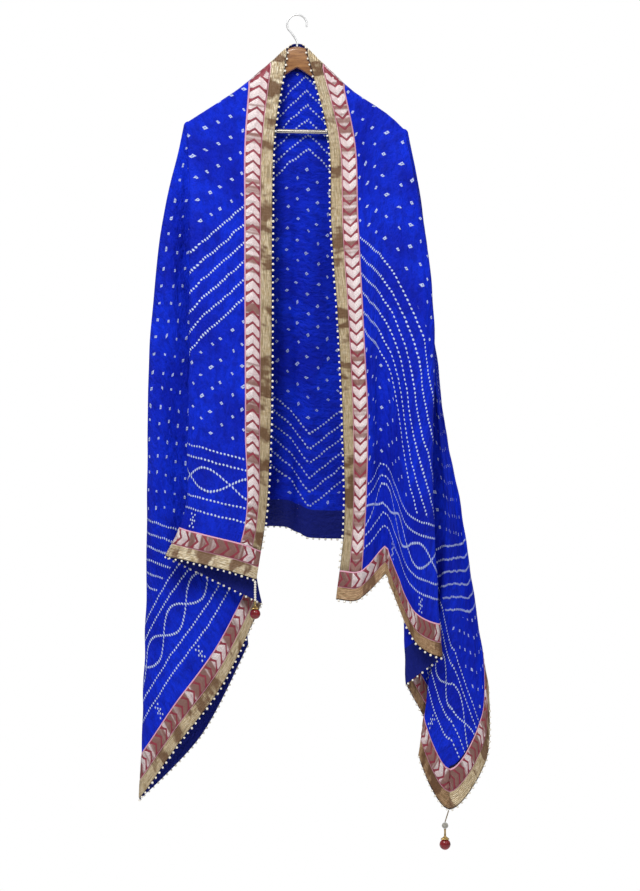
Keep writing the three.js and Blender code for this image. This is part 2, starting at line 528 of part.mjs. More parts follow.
export default group;
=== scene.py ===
"""Dupatta stole draped over a wooden hanger: tie-dyed silk, gota border, pearl edging and tassels."""

import math

import bpy
import numpy as np
from bpy.props import FloatProperty, FloatVectorProperty, IntProperty, PointerProperty
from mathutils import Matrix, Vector


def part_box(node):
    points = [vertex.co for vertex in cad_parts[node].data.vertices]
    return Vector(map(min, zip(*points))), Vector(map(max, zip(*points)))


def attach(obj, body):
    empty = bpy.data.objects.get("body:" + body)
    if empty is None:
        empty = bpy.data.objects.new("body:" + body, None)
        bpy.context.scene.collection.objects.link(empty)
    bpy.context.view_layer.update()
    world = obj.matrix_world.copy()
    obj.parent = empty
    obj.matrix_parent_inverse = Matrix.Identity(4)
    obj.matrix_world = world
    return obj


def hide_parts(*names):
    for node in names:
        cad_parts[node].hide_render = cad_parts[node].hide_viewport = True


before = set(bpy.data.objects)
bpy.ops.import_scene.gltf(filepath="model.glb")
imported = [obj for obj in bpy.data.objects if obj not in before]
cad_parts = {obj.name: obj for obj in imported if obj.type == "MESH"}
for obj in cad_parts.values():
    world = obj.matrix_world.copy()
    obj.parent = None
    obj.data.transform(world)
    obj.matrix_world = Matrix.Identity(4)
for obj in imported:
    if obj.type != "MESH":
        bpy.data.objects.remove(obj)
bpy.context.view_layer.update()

bl_info = {
    "name": "Dupatta Stole",
    "version": (1, 0, 0),
    "blender": (4, 5, 0),
    "location": "View3D > Sidebar > Stole",
    "description": "Builds a draped, bordered and tasselled stole around its packed frame",
    "category": "Object",
}

MM = 0.001

# ---- the drape: the same lines as the solids, in millimetres ----
WIDTH = 950.0
BORDER = 55.0
GOLD = 23.5
NECK_LINE = 69.0
NECK_REACH = 28.0
TIP_ALONG, TIP_ACROSS = 215.0, 140.0
NECK_X, NECK_DROP, NAPE_RISE = 18.0, -8.0, 17.0
ARM_ROUND, ARM_SAG, TIP_DROOP = 9.0, 90.0, 8.0
ARM_HOLLOW, ARM_ROLL, ARM_DEPTH, ARM_HALF = 24.0, 7.0, 40.0, 6.6
ARM_CLEAR, CROWN_DROP = 2.2, -10.0
NOTCH = {"drop": 30.0, "slope": 0.64, "reach": 30.0}
SIDES = {
    "left": {"sign": -1, "half": 1045.0, "tip_x": 206.0, "tip_drop": 124.0},  # half: the length to that end
    "right": {"sign": 1, "half": 1080.0, "tip_x": 202.0, "tip_drop": 138.0},
}
LEVELS = [170, 320, 520, 720, 900]
LEVEL_ROOM = 30.0  # the first level is left out nearer than this to the arm's round
BAND = [BORDER, 47, 39, 31, GOLD, 17, 11, 5.5, 1.3, 0]  # distances from the edge where the border has points

# Lines down the cloth: name, edge it ends on, where, drop there, direction leaving the arm, swing at a fold,
# x and y at each level and at the foot; and, where it isn't 1, the pace of the cloth down the line
LEFT_LINES = [
    ("edge", "end", 0, 1000, -90, 0, (43, 46, 47, 49, 60, 76), (-16, -34, -48, -56, -60, -62)),
    ("trim", "end", 55, 985, -90, 0, (99, 99, 98, 97, 98, 122), (-15, -36, -56, -64, -68, -70)),
    ("panel", "end", 140, 966, -90, 0, (186, 182, 180, 180, 185, 199), (-14, -32, -54, -64, -68, -68)),
    ("lap", "end", 205, 956, -80, 60, (198, 203, 202, 205, 219, 246), (-14, -27, -44, -54, -56, -56)),
    ("tuck", "end", 428, 1045, -55, 60, (204, 200, 168, 130, 95, 66), (-11, -15, -24, -32, -36, -38)),
    ("hollow", "end", 620, 1198, -30, 0, (211, 222, 222, 212, 190, 139), (-9, -8, -8, -10, -12, -16)),
    ("roll", "end", 790, 1317, -15, 0, (218, 240, 252, 256, 254, 227), (-6, -9, -16, -22, -24, -20)),
    ("corner", "end", 950, 1420, 0, 80, (226, 252, 274, 284, 285, 298), (0, 2, 6, 8, 8, 0)),
    ("sweep", "hem", 865, 1298, 15, 0, (226, 248, 262, 262, 240, 181), (3, 9, 17, 22, 24, 20)),
    ("inner", "hem", 695, 1127, 35, 60, (222, 204, 172, 140, 116, 94), (7, 14, 22, 26, 28, 24)),
    ("outer", "hem", 350, 952, 65, 60, (216, 224, 238, 252, 268, 272), (10, 26, 44, 54, 60, 60)),
    ("back", "hem", 215, 925, 90, 0, (208, 206, 204, 202, 200, 199), (13, 32, 52, 64, 70, 70)),
    ("blade", "hem", 120, 908, 90, 0, (114, 114, 114, 114, 114, 114), (14, 26, 42, 52, 58, 60)),
    ("nape", "hem", 28, 904, 90, 0, (26, 26, 26, 26, 26, 26), (15, 20, 34, 44, 50, 54)),
    ("middle", "hem", 0, 914, 90, 0, (0, 0, 0, 0, 0, 0), (16, 24, 40, 50, 56, 60)),
]
RIGHT_LINES = [
    ("edge", "end", 0, 1037, -90, 0, (60, 64, 78, 87, 89, 74), (-16, -32, -46, -54, -58, -60)),
    ("trim", "end", 55, 1036, -90, 0, (110, 116, 126, 134, 128, 118), (-15, -36, -56, -64, -68, -72)),
    ("crease", "end", 115, 990, -90, 0, (160, 163, 155, 154, 164, 167), (-14, -32, -42, -44, -46, -44)),
    ("panel", "end", 140, 1008, -90, 0, (190, 194, 178, 173, 176, 174), (-14, -32, -50, -54, -56, -54)),
    ("breast", "end", 290, 1116, -84, 0, (206, 226, 242, 212, 208, 222), (-12, -30, -54, -66, -70, -70)),
    ("lap", "end", 420, 1146, -65, 60, (212, 236, 256, 254, 258, 272), (-9, -22, -42, -52, -56, -54)),
    ("tuck", "end", 545, 1198, -45, 60, (217, 228, 222, 206, 200, 205), (-6, -10, -20, -28, -32, -34)),
    ("furl", "end", 720, 1315, -30, 0, (218, 234, 242, 250, 260, 264), (-4, -5, -9, -12, -14, -12), 1.065),
    ("curl", "end", 805, 1334, -18, 0, (219, 236, 250, 266, 282, 230), (-2, -5, -11, -17, -22, -36), 0.96),
    ("corner", "end", 950, 1436, -8, 0, (220, 239, 254, 272, 292, 288), (-1, -3, -9, -15, -19, -26), 0.935),
    ("drop", "hem", 890, 1340, -2, 0, (221, 241, 257, 279, 306, 360), (0, 0, -4, -8, -10, -12)),
    ("side", "hem", 750, 1205, 6, 80, (222, 242, 259, 284, 316, 362), (2, 5, 7, 8, 8, 8), 0.925),
    ("inner", "hem", 560, 1062, 35, 60, (219, 214, 208, 204, 206, 214), (6, 14, 24, 30, 32, 30)),
    ("outer", "hem", 350, 972, 65, 60, (215, 226, 244, 266, 288, 292), (10, 28, 46, 56, 62, 62)),
    ("back", "hem", 215, 940, 90, 0, (206, 206, 204, 202, 200, 199), (13, 34, 54, 66, 72, 72)),
    ("blade", "hem", 120, 928, 90, 0, (114, 114, 114, 114, 114, 114), (14, 26, 42, 52, 58, 60)),
    ("nape", "hem", 28, 925, 90, 0, (26, 26, 26, 26, 26, 26), (15, 20, 34, 44, 50, 54)),
    ("middle", "hem", 0, 914, 90, 0, (0, 0, 0, 0, 0, 0), (16, 24, 40, 50, 56, 60)),
]

# Soft creases pressed into the silk, in millimetres: from along, from across, to along, to across on the
# flat cloth, half width and height. Along is negative on the left.
CREASES = [
    (-120, 70, -300, 560, 34, 3.0),
    (-300, 95, -820, 120, 16, 2.4),
    (-420, 90, -900, 75, 11, -1.8),
    (-230, 170, -760, 620, 26, 3.2),
    (-260, 210, -820, 760, 20, -2.6),
    (-520, 330, -960, 560, 24, 2.4),
    (-700, 500, -980, 800, 18, -2.4),
    (-640, 640, -900, 880, 15, 2.2),
    (250, 100, 900, 85, 13, 2.0),
    (300, 150, 1000, 210, 20, -3.0),
    (280, 190, 1020, 330, 22, 3.0),
    (260, 230, 900, 620, 22, -2.6),
    (330, 330, 1000, 700, 20, 2.4),
    (420, 500, 980, 860, 15, -2.2),
    (520, 620, 900, 900, 14, 2.2),
    (-250, 178, -640, 300, 24, -7.0),
    (-300, 215, -700, 420, 22, 5.0),
    (-14, 120, -16, 900, 12, -3.4),
    (-80, 420, -64, 940, 20, 3.0),
    (70, 300, 52, 940, 22, 2.6),
    (130, 480, 112, 930, 18, -2.4),
    (-150, 300, -120, 930, 20, -2.2),
]
CREASE_SWAY, CREASE_END = 9.0, 0.15
RIPPLES, RIPPLE_HEIGHT, RIPPLE_LENGTH = 16, 0.22, (55, 120)

TURN_RUN = 260.0  # depth over which the swing of a fold comes in
STRETCH = (1.5, 8.0)  # a curve's end leans by at most this many spans, and so many millimetres
FINE = 49  # points measured along each curve
FOLD_STEP, NEAR_FOLD_STEP, PLAIN_STEP = 9.0, 10.0, 13.0
ARM_RUNS = [0, 3.6, 7.2, 10.8, ARM_ROUND * math.pi / 2 + 0.1, 24]
PLAIN_START, PLAIN_ROWS = 36.0, 64


def through(knots, values, at):
    """A smooth curve through the values at the knots."""
    knots, values = np.asarray(knots, float), np.asarray(values, float)
    gaps = np.diff(knots)
    rates = np.diff(values) / gaps
    slopes = np.empty(len(values))
    slopes[0], slopes[-1] = rates[0], rates[-1]
    slopes[1:-1] = (rates[:-1] * gaps[1:] + rates[1:] * gaps[:-1]) / (gaps[:-1] + gaps[1:])
    i = np.clip(np.searchsorted(knots, at) - 1, 0, len(knots) - 2)
    leave, arrive = slopes[i] * gaps[i], slopes[i + 1] * gaps[i]
    return blend((at - knots[i]) / gaps[i], values[i], leave, values[i + 1], arrive)


def blend(f, a, da, b, db):
    """From a to b as f goes from 0 to 1, leaving at da and arriving at db."""
    f2, f3 = f * f, f * f * f
    return (2 * f3 - 3 * f2 + 1) * a + (f3 - 2 * f2 + f) * da + (3 * f2 - 2 * f3) * b + (f3 - f2) * db


def ease(f):
    f = np.clip(f, 0, 1)
    return f * f * (3 - 2 * f)


def ridge(side, q):
    """Where the cloth lies along the arm, from the neck at q = 0 to the tip at 1: x and drop."""
    sag = ARM_SAG * q * (1 - q) * (1 - q) + TIP_DROOP * q ** 8
    return (NECK_X + q * (side["tip_x"] - NECK_X), NECK_DROP + q * (side["tip_drop"] - NECK_DROP) + sag)


class Line:
    """One line down the cloth, from the arm to an edge."""

    def __init__(self, side, row):
        self.name, self.edge, self.at, self.foot, lean, self.turn, xs, ys = row[:8]
        self.pace = row[8] if len(row) > 8 else 1.0
        if self.edge == "end":
            q = min(1.0, self.at / TIP_ACROSS)
        else:
            q = min(1.0, max(0.0, (self.at - NECK_REACH) / (TIP_ALONG - NECK_REACH)))
        self.x, self.drop = ridge(side, q)
        self.along, self.across, self.start = NECK_REACH + q * (TIP_ALONG - NECK_REACH), q * TIP_ACROSS, 0.0
        if self.edge == "hem" and self.at < NECK_REACH:
            s = 1 - self.at / NECK_REACH
            self.x = NECK_X * (1 - s)
            self.drop = NECK_DROP - (NAPE_RISE + ARM_ROUND + NECK_DROP) * s
            self.along, self.across, self.start = self.at, 0.0, ARM_ROUND * math.pi / 2 * s
        end = self.end = (side["half"], self.at) if self.edge == "end" else (self.at, WIDTH)
        self.length = math.hypot(end[0] - self.along, end[1] - self.across)
        self.depth = side["half"] - self.along if self.edge == "end" else WIDTH - self.across
        self.out = (math.cos(math.radians(lean)), math.sin(math.radians(lean)))
        skip = 1 if LEVELS[0] - (self.drop + ARM_ROUND) < LEVEL_ROOM else 0
        self.knots = [self.drop + ARM_ROUND] + LEVELS[skip:] + [self.foot]
        self.xs = [self.x + ARM_ROUND * self.out[0]] + list(xs[skip:])
        self.ys = [ARM_ROUND * self.out[1]] + list(ys[skip:])

    def point(self, share):
        """Points at shares of the line's length, over the arm's round and then down."""
        share = np.asarray(share, float)
        quarter = ARM_ROUND * math.pi / 2
        run = self.start + share * self.length
        low = self.drop + ARM_ROUND
        rest = np.clip((run - quarter) / (self.start + self.length - quarter), 0, 1) ** self.pace
        drop = low + rest * (self.foot - low)
        over = run < quarter
        w = np.clip(run, 0, quarter) / ARM_ROUND
        r = ARM_ROUND * np.sin(w)
        x = np.where(over, self.x + r * self.out[0], through(self.knots, self.xs, drop))
        y = np.where(over, r * self.out[1], through(self.knots, self.ys, drop))
        return np.stack([x, y, np.where(over, self.drop + ARM_ROUND * (1 - np.cos(w)), drop)], -1)


def heading(side, lines, k, share):
    """The way the cloth crosses line k."""
    here, last = lines[k].point(share), len(lines) - 1
    before = lines[k - 1].point(share) if k > 0 else here
    after = lines[k + 1].point(share) if k < last else here
    m = (after - before) / (2 if 0 < k < last else 1)
    if k == last:
        m = m * [1, 0, 0]
    if lines[k].turn:
        g = ease((here[:, 2] - side["tip_drop"] - ARM_ROUND) / TURN_RUN)[:, None]
        m = m * (1 - g) + np.array([0, lines[k].turn, 0]) * g
    return m


def on_cloth(side, lines, k, part, shares):
    """Points of the cloth a part of the way from line k to the next, at shares down it."""
    shares = np.asarray(shares, float)
    a, b = lines[k].point(shares), lines[k + 1].point(shares)
    span = np.linalg.norm(b - a, axis=1)
    ends = []
    for m in (heading(side, lines, k, shares), heading(side, lines, k + 1, shares)):
        n = np.maximum(np.linalg.norm(m, axis=1), 1e-6)
        ends.append(m * np.minimum(1, (STRETCH[0] * span + STRETCH[1]) / n)[:, None])
    f = np.linspace(0, 1, FINE)[None, :, None]
    curve = blend(f, a[:, None], ends[0][:, None], b[:, None], ends[1][:, None])
    steps = np.linalg.norm(np.diff(curve, axis=1), axis=2)
    far = np.concatenate([np.zeros((len(shares), 1)), np.cumsum(steps, 1)], 1)
    out = np.empty((len(shares), 3))
    for i in range(len(shares)):
        want = part * far[i, -1]
        for c in range(3):
            out[i, c] = np.interp(want, far[i], curve[i, :, c])
    return np.stack([side["sign"] * out[:, 0], out[:, 1], -(out[:, 2] + NECK_LINE)], -1)


def divisions(a, b):
    """Shares across the cloth between two lines, closer where it folds."""
    if a.name == "edge":
        return [w / BORDER for w in BAND[:0:-1]]
    if a.edge == b.edge:
        wide = abs(b.at - a.at)
    else:
        wide = math.hypot(a.end[0] - b.end[0], a.end[1] - b.end[1])
    if a.name == "nape":
        return [0, 0.25, 0.5, 0.75]
    if a.turn and b.turn:
        n = max(8, int(wide / FOLD_STEP))
        return [0.5 - 0.5 * math.cos(math.pi * i / n) for i in range(n)]
    if a.turn or b.turn:
        n = max(6, int(wide / NEAR_FOLD_STEP))
        x = [i / n for i in range(n)]
        return [1 - math.cos(math.pi / 2 * v) if a.turn else math.sin(math.pi / 2 * v) for v in x]
    n = max(2, int(wide / PLAIN_STEP))
    return [i / n for i in range(n)]


def rows_of(length, depth):
    """Shares down the cloth of its rows of points: close over the arm and in the border, even between."""
    near = [r / length for r in ARM_RUNS]
    first, last, n = PLAIN_START / length, 1 - BORDER / depth, PLAIN_ROWS
    shares = near + [first + (last - first) * i / n for i in range(n)]
    return shares + [1 - w / depth for w in BAND]


class Half:
    """The grid of cloth points on one side, and where each of its columns lies."""

    def __init__(self, word):
        side = SIDES[word]
        self.lines = [Line(side, row) for row in (LEFT_LINES if word == "left" else RIGHT_LINES)]
        names = [line.name for line in self.lines]
        find = names.index
        last = len(names) - 1
        front, cone = [], []
        for k in range(find("back")):
            for part in divisions(self.lines[k], self.lines[k + 1]):
                (front if k < find("panel") else cone).append((k, part))
        reach = []
        for k, part in front:
            at = self.lines[k].at + part * (self.lines[k + 1].at - self.lines[k].at)
            reach.append(NECK_REACH + at / TIP_ACROSS * (TIP_ALONG - NECK_REACH))
        back = [(find("back"), 0.0)]
        for a in reversed(reach):
            k = max(i for i in range(find("back"), last) if self.lines[i].at >= a - 1e-6)
            part = (self.lines[k].at - a) / (self.lines[k].at - self.lines[k + 1].at)
            back.append((k, part))
        nape = [(find("nape"), part) for part in (0.25, 0.5, 0.75, 1.0)]
        self.columns = front + cone + back + nape
        self.front, self.cone, self.back = len(front), len(cone), len(back)
        self.corner = next(i for i, c in enumerate(self.columns) if c[0] == find("corner"))
        points, flat = [], []
        for k, part in self.columns:
            a, b = self.lines[k], self.lines[k + 1]
            mix = lambda key: getattr(a, key) + part * (getattr(b, key) - getattr(a, key))
            shares = np.array(rows_of(mix("length"), a.depth if part == 0 else mix("depth")))
            points.append(on_cloth(side, self.lines, k, part, shares))
            top = np.array([mix("along"), mix("across")])
            low = np.array(a.end) + part * (np.array(b.end) - np.array(a.end))
            flat.append(top + shares[:, None] * (low - top))
        self.points, self.flat = np.array(points), np.array(flat)
        self.flat[..., 0] *= side["sign"]


def press(along, across):
    """Height of the soft creases and the fine crinkle at points of the flat cloth."""
    total = np.zeros_like(along)
    for a0, b0, a1, b1, wide, high in CREASES:
        length = math.hypot(a1 - a0, b1 - b0)
        t = ((along - a0) * (a1 - a0) + (across - b0) * (b1 - b0)) / length ** 2
        s = ((along - a0) * (b1 - b0) - (across - b0) * (a1 - a0)) / length
        bend = s + CREASE_SWAY * np.sin(t * 7 + a0)
        fade = ease((t + CREASE_END) / 0.3) * ease((1 + CREASE_END - t) / 0.3)
        total += high * np.exp(-(bend / wide) ** 2) * fade
    rng = np.random.default_rng(11)
    for _ in range(RIPPLES):
        wave, way, phase = rng.uniform(*RIPPLE_LENGTH), rng.uniform(0, math.pi), rng.uniform(0, 6.3)
        turn = along * math.cos(way) + across * math.sin(way)
        bent = phase + 1.4 * np.sin(along / 97 + across / 71 + phase)
        total += RIPPLE_HEIGHT * np.sin(2 * math.pi * turn / wave + bent)
    return total


def build_cloth():
    """The whole cloth as one sheet: points, normals, flat places, faces and each side's columns."""
    halves = {word: Half(word) for word in SIDES}
    points, flat, ids = [], [], {}
    for word, half in halves.items():
        n, m = half.points.shape[:2]
        table = np.empty((n, m), int)
        for i in range(n):
            for j in range(m):
                twin = None  # the point it is sewn to: along the arm, and down the middle of the back
                if j == 0 and half.front <= i < half.front + half.cone + 1:
                    twin = table[half.front, 0] if i > half.front else None
                elif j == 0 and half.front + half.cone < i < half.front + half.cone + half.back:
                    twin = table[half.front - (i - half.front - half.cone), 0]
                elif i == n - 1 and word == "right":
                    twin = ids["left"][-1, j]
                if twin is None:
                    twin = len(points)
                    points.append(half.points[i, j])
                    flat.append(half.flat[i, j])
                table[i, j] = twin
        ids[word] = table
    points, flat = np.array(points), np.array(flat)
    faces = []
    for word, table in ids.items():
        n, m = table.shape
        for i in range(n - 1):
            for j in range(m - 1):
                quad = [table[i, j], table[i, j + 1], table[i + 1, j + 1], table[i + 1, j]]
                quad = [q for k, q in enumerate(quad) if q != quad[k - 1]]
                if len(quad) > 2:
                    faces.append(quad if word == "right" else quad[::-1])
    normals = vertex_normals(points, faces)
    lift = np.zeros(len(points))
    for word, table in ids.items():
        depth = np.minimum(1, np.linspace(0, 1, table.shape[1]) * 5)
        lift[table] = press(flat[table, 0], flat[table, 1]) * ease(depth)[None, :]
    points = points + normals * lift[:, None]
    return points, vertex_normals(points, faces), flat, faces, halves, ids


def vertex_normals(points, faces):
    """The mean of the faces' normals at each point."""
    normals = np.zeros_like(points)
    for face in faces:
        p = points[face]
        n = np.cross(p[1] - p[0], p[2] - p[0])
        if len(face) == 4:
            n = n + np.cross(p[2] - p[0], p[3] - p[0])
        size = np.linalg.norm(n)
        if size > 1e-9:
            normals[face] += n / size
    return normals / np.maximum(np.linalg.norm(normals, axis=1), 1e-9)[:, None]


# ---- meshes ----
def quads(n, m, closed=False):
    """Faces over n rows of m points, closed round if asked."""
    return [[i * m + j, i * m + (j + 1) % m, (i + 1) * m + (j + 1) % m, (i + 1) * m + j]
            for i in range(n - 1) for j in range(m if closed else m - 1)]


def facing(faces, points, test, outward):
    """The faces, all turned over if the test face looks away from outward."""
    a, b, c = (points[i] for i in test[:3])
    return [f[::-1] for f in faces] if np.dot(np.cross(b - a, c - a), outward) < 0 else faces


def runs_along(points):
    return np.concatenate([[0], np.cumsum(np.linalg.norm(np.diff(points, axis=0), axis=1))])


def between_points(run, runs, points):
    return np.array([np.interp(run, runs, points[:, c]) for c in range(3)])


def spread(runs, pitch, least):
    """Places along a run, a pitch or a little more apart."""
    count = max(least, int(runs[-1] / pitch))
    return (np.arange(count) + 0.5) * runs[-1] / count


def link(name, mesh):
    piece = bpy.data.objects.new(name, mesh)
    bpy.context.scene.collection.objects.link(piece)
    return piece


def new_piece(name, points, faces, materials, uv=None, slots=None, smooth=True):
    """A mesh object from points in millimetres; uv is for each corner and slots for each face."""
    mesh = bpy.data.meshes.new(name)
    mesh.from_pydata([tuple(p) for p in np.asarray(points) * MM], [], [[int(i) for i in f] for f in faces])
    for material in materials:
        mesh.materials.append(material)
    if uv is not None:
        layer = mesh.uv_layers.new(name="Cut")
        layer.data.foreach_set("uv", np.asarray(uv, float).ravel())
    if slots is not None:
        mesh.polygons.foreach_set("material_index", np.asarray(slots, int))
    mesh.polygons.foreach_set("use_smooth", [smooth] * len(mesh.polygons))
    mesh.update()
    return link(name, mesh)


def finish_piece(piece, slot, *nodes):
    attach(piece, "root")
    if nodes:
        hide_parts(*nodes)
    return piece


def paint(node, material):
    """Gives a node of the frame that stays in view its finish."""
    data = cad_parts[node].data
    data.materials.clear()
    data.materials.append(material)


def shell(points, normals, faces, places, low, high):
    """Two skins and a rim from one sheet: points, faces, corner places and which skin each face is on."""
    n = len(points)
    both = np.concatenate([points + normals * high, points + normals * low])
    out = [list(f) for f in faces]
    inn = [[i + n for i in reversed(f)] for f in faces]
    used = {}
    for face in faces:
        for a, b in zip(face, list(face[1:]) + [face[0]]):
            used[(a, b)] = True
    rim = [[b, a, a + n, b + n] for (a, b) in used if (b, a) not in used]
    whole = out + inn + rim
    uv = [places[i % n] for f in whole for i in f]
    skin = [0] * len(out) + [1] * len(inn) + [2] * len(rim)
    return both, whole, np.array(uv), skin


class Ribbon:
    """A band of the border: rows of points along it, from the field's side to the outer edge."""

    def __init__(self, points, normals, runs):
        rising = runs[-1, 0] > runs[0, 0]
        self.points, self.normals, self.runs = (g if rising else g[::-1] for g in (points, normals, runs))
        self.last = BAND.index(GOLD)

    def place(self, run, share, lift):
        """The point at a flat distance along, a share of the way across the patti, lifted off it."""
        x = min(max(share, 0), 1) * self.last
        j = min(int(x), self.last - 1)
        ends, normals = [], []
        for k in (j, j + 1):
            i = int(np.clip(np.searchsorted(self.runs[:, k], run) - 1, 0, len(self.runs) - 2))
            f = np.clip((run - self.runs[i, k]) / (self.runs[i + 1, k] - self.runs[i, k]), 0, 1)
            ends.append(self.points[i, k] * (1 - f) + self.points[i + 1, k] * f)
            normals.append(self.normals[i, k] * (1 - f) + self.normals[i + 1, k] * f)
        normal = normals[0] * (1 - (x - j)) + normals[1] * (x - j)
        return ends[0] * (1 - (x - j)) + ends[1] * (x - j) + normal / np.linalg.norm(normal) * lift


def ribbon_mesh(ribbon, first, last, low, high, wave=None):
    """A closed strip over columns first to last of a ribbon."""
    points = ribbon.points[:, first:last + 1].copy()
    normals, runs = ribbon.normals[:, first:last + 1], ribbon.runs[:, first:last + 1]
    n, m = points.shape[:2]
    if wave is not None:
        points += normals * (wave(runs) * np.linspace(0.35, 1, m)[None, :])[..., None]
    places = [(runs[i, j] * MM, BAND[first + j] * MM) for i in range(n) for j in range(m)]
    points, normals, faces = points.reshape(-1, 3), normals.reshape(-1, 3), quads(n, m)
    middle = faces[len(faces) // 2]
    faces = facing(faces, points, middle, normals[middle[0]])
    return shell(points, normals, faces, places, low, high)


# A leaf in four rows from the patti's centre line outwards: share of the way out, front and back in pitches
LEAF_ROWS = [(0, 0.0, 0.74), (0.3, 0.15, 0.90), (0.65, 0.36, 1.10), (1, 0.60, 1.15)]
LEAF_STEPS = (0, 0.3, 0.65, 1)
LEAF_HEIGHTS = (0.15, 0.8, 0.9, 0.15)
LEAF_EDGES = (0.08, 0.92)
LEAF_START, LEAF_GAP, LEAF_LEAST, LEAF_UV = 0.3, 0.4, 1.6, 0.03


def leaf_rows(ribbon, tip, step, way, far):
    """The four rows of one leaf as (run, share, height), and how many are long enough to show."""
    columns = np.arange(ribbon.last + 1) / ribbon.last
    starts, stops = ribbon.runs[0, :ribbon.last + 1], ribbon.runs[-1, :ribbon.last + 1]
    rows, room = [], 0
    for t, fore, aft in LEAF_ROWS:
        share = 0.5 + t * (far - 0.5)
        low, high = np.interp(share, columns, starts), np.interp(share, columns, stops)
        spots = sorted(tip - way * step * (fore + f * (aft - fore)) for f in LEAF_STEPS)
        kept = [min(max(spot, low + LEAF_GAP * i), high - LEAF_GAP * (3 - i))
                for i, spot in enumerate(spots)]
        room += kept[-1] - kept[0] > LEAF_LEAST
        top = [(spot, share, h) for spot, h in zip(kept, LEAF_HEIGHTS)]
        rows.append(top + [(kept[2], share, 0.0), (kept[1], share, 0.0)])
    return rows, room


def leaves_on(ribbon, pitch, base, way, painted_shade_patches):
    """Pairs of leaves meeting on the patti's centre line, each a low ridged lozenge."""
    out = []
    first = ribbon.runs[0, :ribbon.last + 1].min()
    last = ribbon.runs[-1, :ribbon.last + 1].max()
    count = int((last - first) / pitch)
    step = (last - first) / count
    for k in range(count + 1):
        for far in LEAF_EDGES:
            rows, room = leaf_rows(ribbon, first + (k + way * LEAF_START) * step, step, way, far)
            if room < 1:
                continue
            pts = np.array([ribbon.place(spot, share, base + h) for row in rows for spot, share, h in row])
            faces = quads(4, 6, closed=True) + [[5, 4, 3, 2, 1, 0], [18, 19, 20, 21, 22, 23]]
            up = ribbon.place(rows[1][1][0], 0.5, 3) - ribbon.place(rows[1][1][0], 0.5, 0)
            faces = facing(faces, pts, faces[1], up)
            uv = [(rows[i // 6][i % 6][0] * MM, rows[i // 6][i % 6][1] * LEAF_UV) for f in faces for i in f]
            # The last value picks the leaf finish: slot 1 has more patches of painted shade.
            out.append((pts, faces, np.array(uv), [painted_shade_patches] * len(faces)))
    return out


def gather(parts):
    """Several (points, faces, uv, slots) as one."""
    points, faces, uv, slots, base = [], [], [], [], 0
    for p, f, u, s in parts:
        points.append(p)
        faces += [[i + base for i in face] for face in f]
        uv.append(u)
        slots += list(s)
        base += len(p)
    return np.concatenate(points), faces, np.concatenate(uv), slots


# ---- shader helpers ----
class Sheet:
    """Node-building for one material, node group or world."""

    def __init__(self, tree):
        self.tree, self.nodes, self.links = tree, tree.nodes, tree.links

    def node(self, kind, **values):
        n = self.nodes.new(kind)
        for key, value in values.items():
            setattr(n, key, value)
        return n

    def put(self, socket, value):
        if isinstance(value, bpy.types.NodeSocket):
            self.links.new(value, socket)
        elif value is not None:
            socket.default_value = value

    def math(self, operation, a, b=None, c=None, clamp=False):
        n = self.node("ShaderNodeMath", operation=operation, use_clamp=clamp)
        for socket, value in zip(n.inputs, (a, b, c)):
            self.put(socket, value)
        return n.outputs[0]

    def plus(self, a, b, clamp=False):
        return self.math("ADD", a, b, clamp=clamp)

    def minus(self, a, b):
        return self.math("SUBTRACT", a, b)

    def times(self, a, b, clamp=False):
        return self.math("MULTIPLY", a, b, clamp=clamp)

    def size(self, a):
        return self.math("ABSOLUTE", a)

    def soft(self, value, low, high):
        """0 at low, 1 at high, smooth between."""
        n = self.node("ShaderNodeMapRange", interpolation_type="SMOOTHSTEP")
        self.put(n.inputs["Value"], value)
        self.put(n.inputs["From Min"], low)
        self.put(n.inputs["From Max"], high)
        return n.outputs["Result"]

    def fall(self, value, low, high):
        """1 at low, 0 at high, smooth between."""
        return self.minus(1.0, self.soft(value, low, high))

    def between(self, value, low, high, edge=1.0):
        return self.times(self.soft(value, low - edge, low), self.fall(value, high, high + edge))

    def noise(self, place, scale, detail=2.0, rough=0.5):
        n = self.node("ShaderNodeTexNoise")
        self.put(n.inputs["Vector"], place)
        n.inputs["Scale"].default_value = scale
        n.inputs["Detail"].default_value = detail
        n.inputs["Roughness"].default_value = rough
        return n.outputs["Fac"]

    def mix(self, factor, a, b):
        n = self.node("ShaderNodeMix", data_type="RGBA")
        self.put(n.inputs[0], factor)
        self.put(n.inputs[6], a)
        self.put(n.inputs[7], b)
        return n.outputs[2]

    def split(self, vector):
        n = self.node("ShaderNodeSeparateXYZ")
        self.put(n.inputs[0], vector)
        return n.outputs

    def join(self, x, y, z=0.0):
        n = self.node("ShaderNodeCombineXYZ")
        for socket, value in zip(n.inputs, (x, y, z)):
            self.put(socket, value)
        return n.outputs[0]

    def stretched(self, place, scale):
        n = self.node("ShaderNodeMapping")
        n.inputs["Scale"].default_value = scale
        self.put(n.inputs[0], place)
        return n.outputs[0]

    def cut(self):
        """The place on the flat cloth in metres: the pair, its run along and its distance across."""
        uv = self.node("ShaderNodeUVMap", uv_map="Cut").outputs[0]
        return (uv, *self.split(uv)[:2])

    def finish(self, shader, colour, height=None, distance=0.0, strength=0.0):
        """Gives the shader its colour and, from a height, its bump."""
        self.put(shader.inputs["Base Color"], colour)
        if height is not None:
            n = self.node("ShaderNodeBump")
            n.inputs["Strength"].default_value = strength
            n.inputs["Distance"].default_value = distance
            self.put(n.inputs["Height"], height)
            self.put(shader.inputs["Normal"], n.outputs[0])


def new_material(name, roughness, metallic=0.0):
    material = bpy.data.materials.new(name)
    material.use_nodes = True
    sheet = Sheet(material.node_tree)
    shader = next(n for n in sheet.nodes if n.type == "BSDF_PRINCIPLED")
    shader.inputs["Roughness"].default_value = roughness
    shader.inputs["Metallic"].default_value = metallic
    return material, sheet, shader


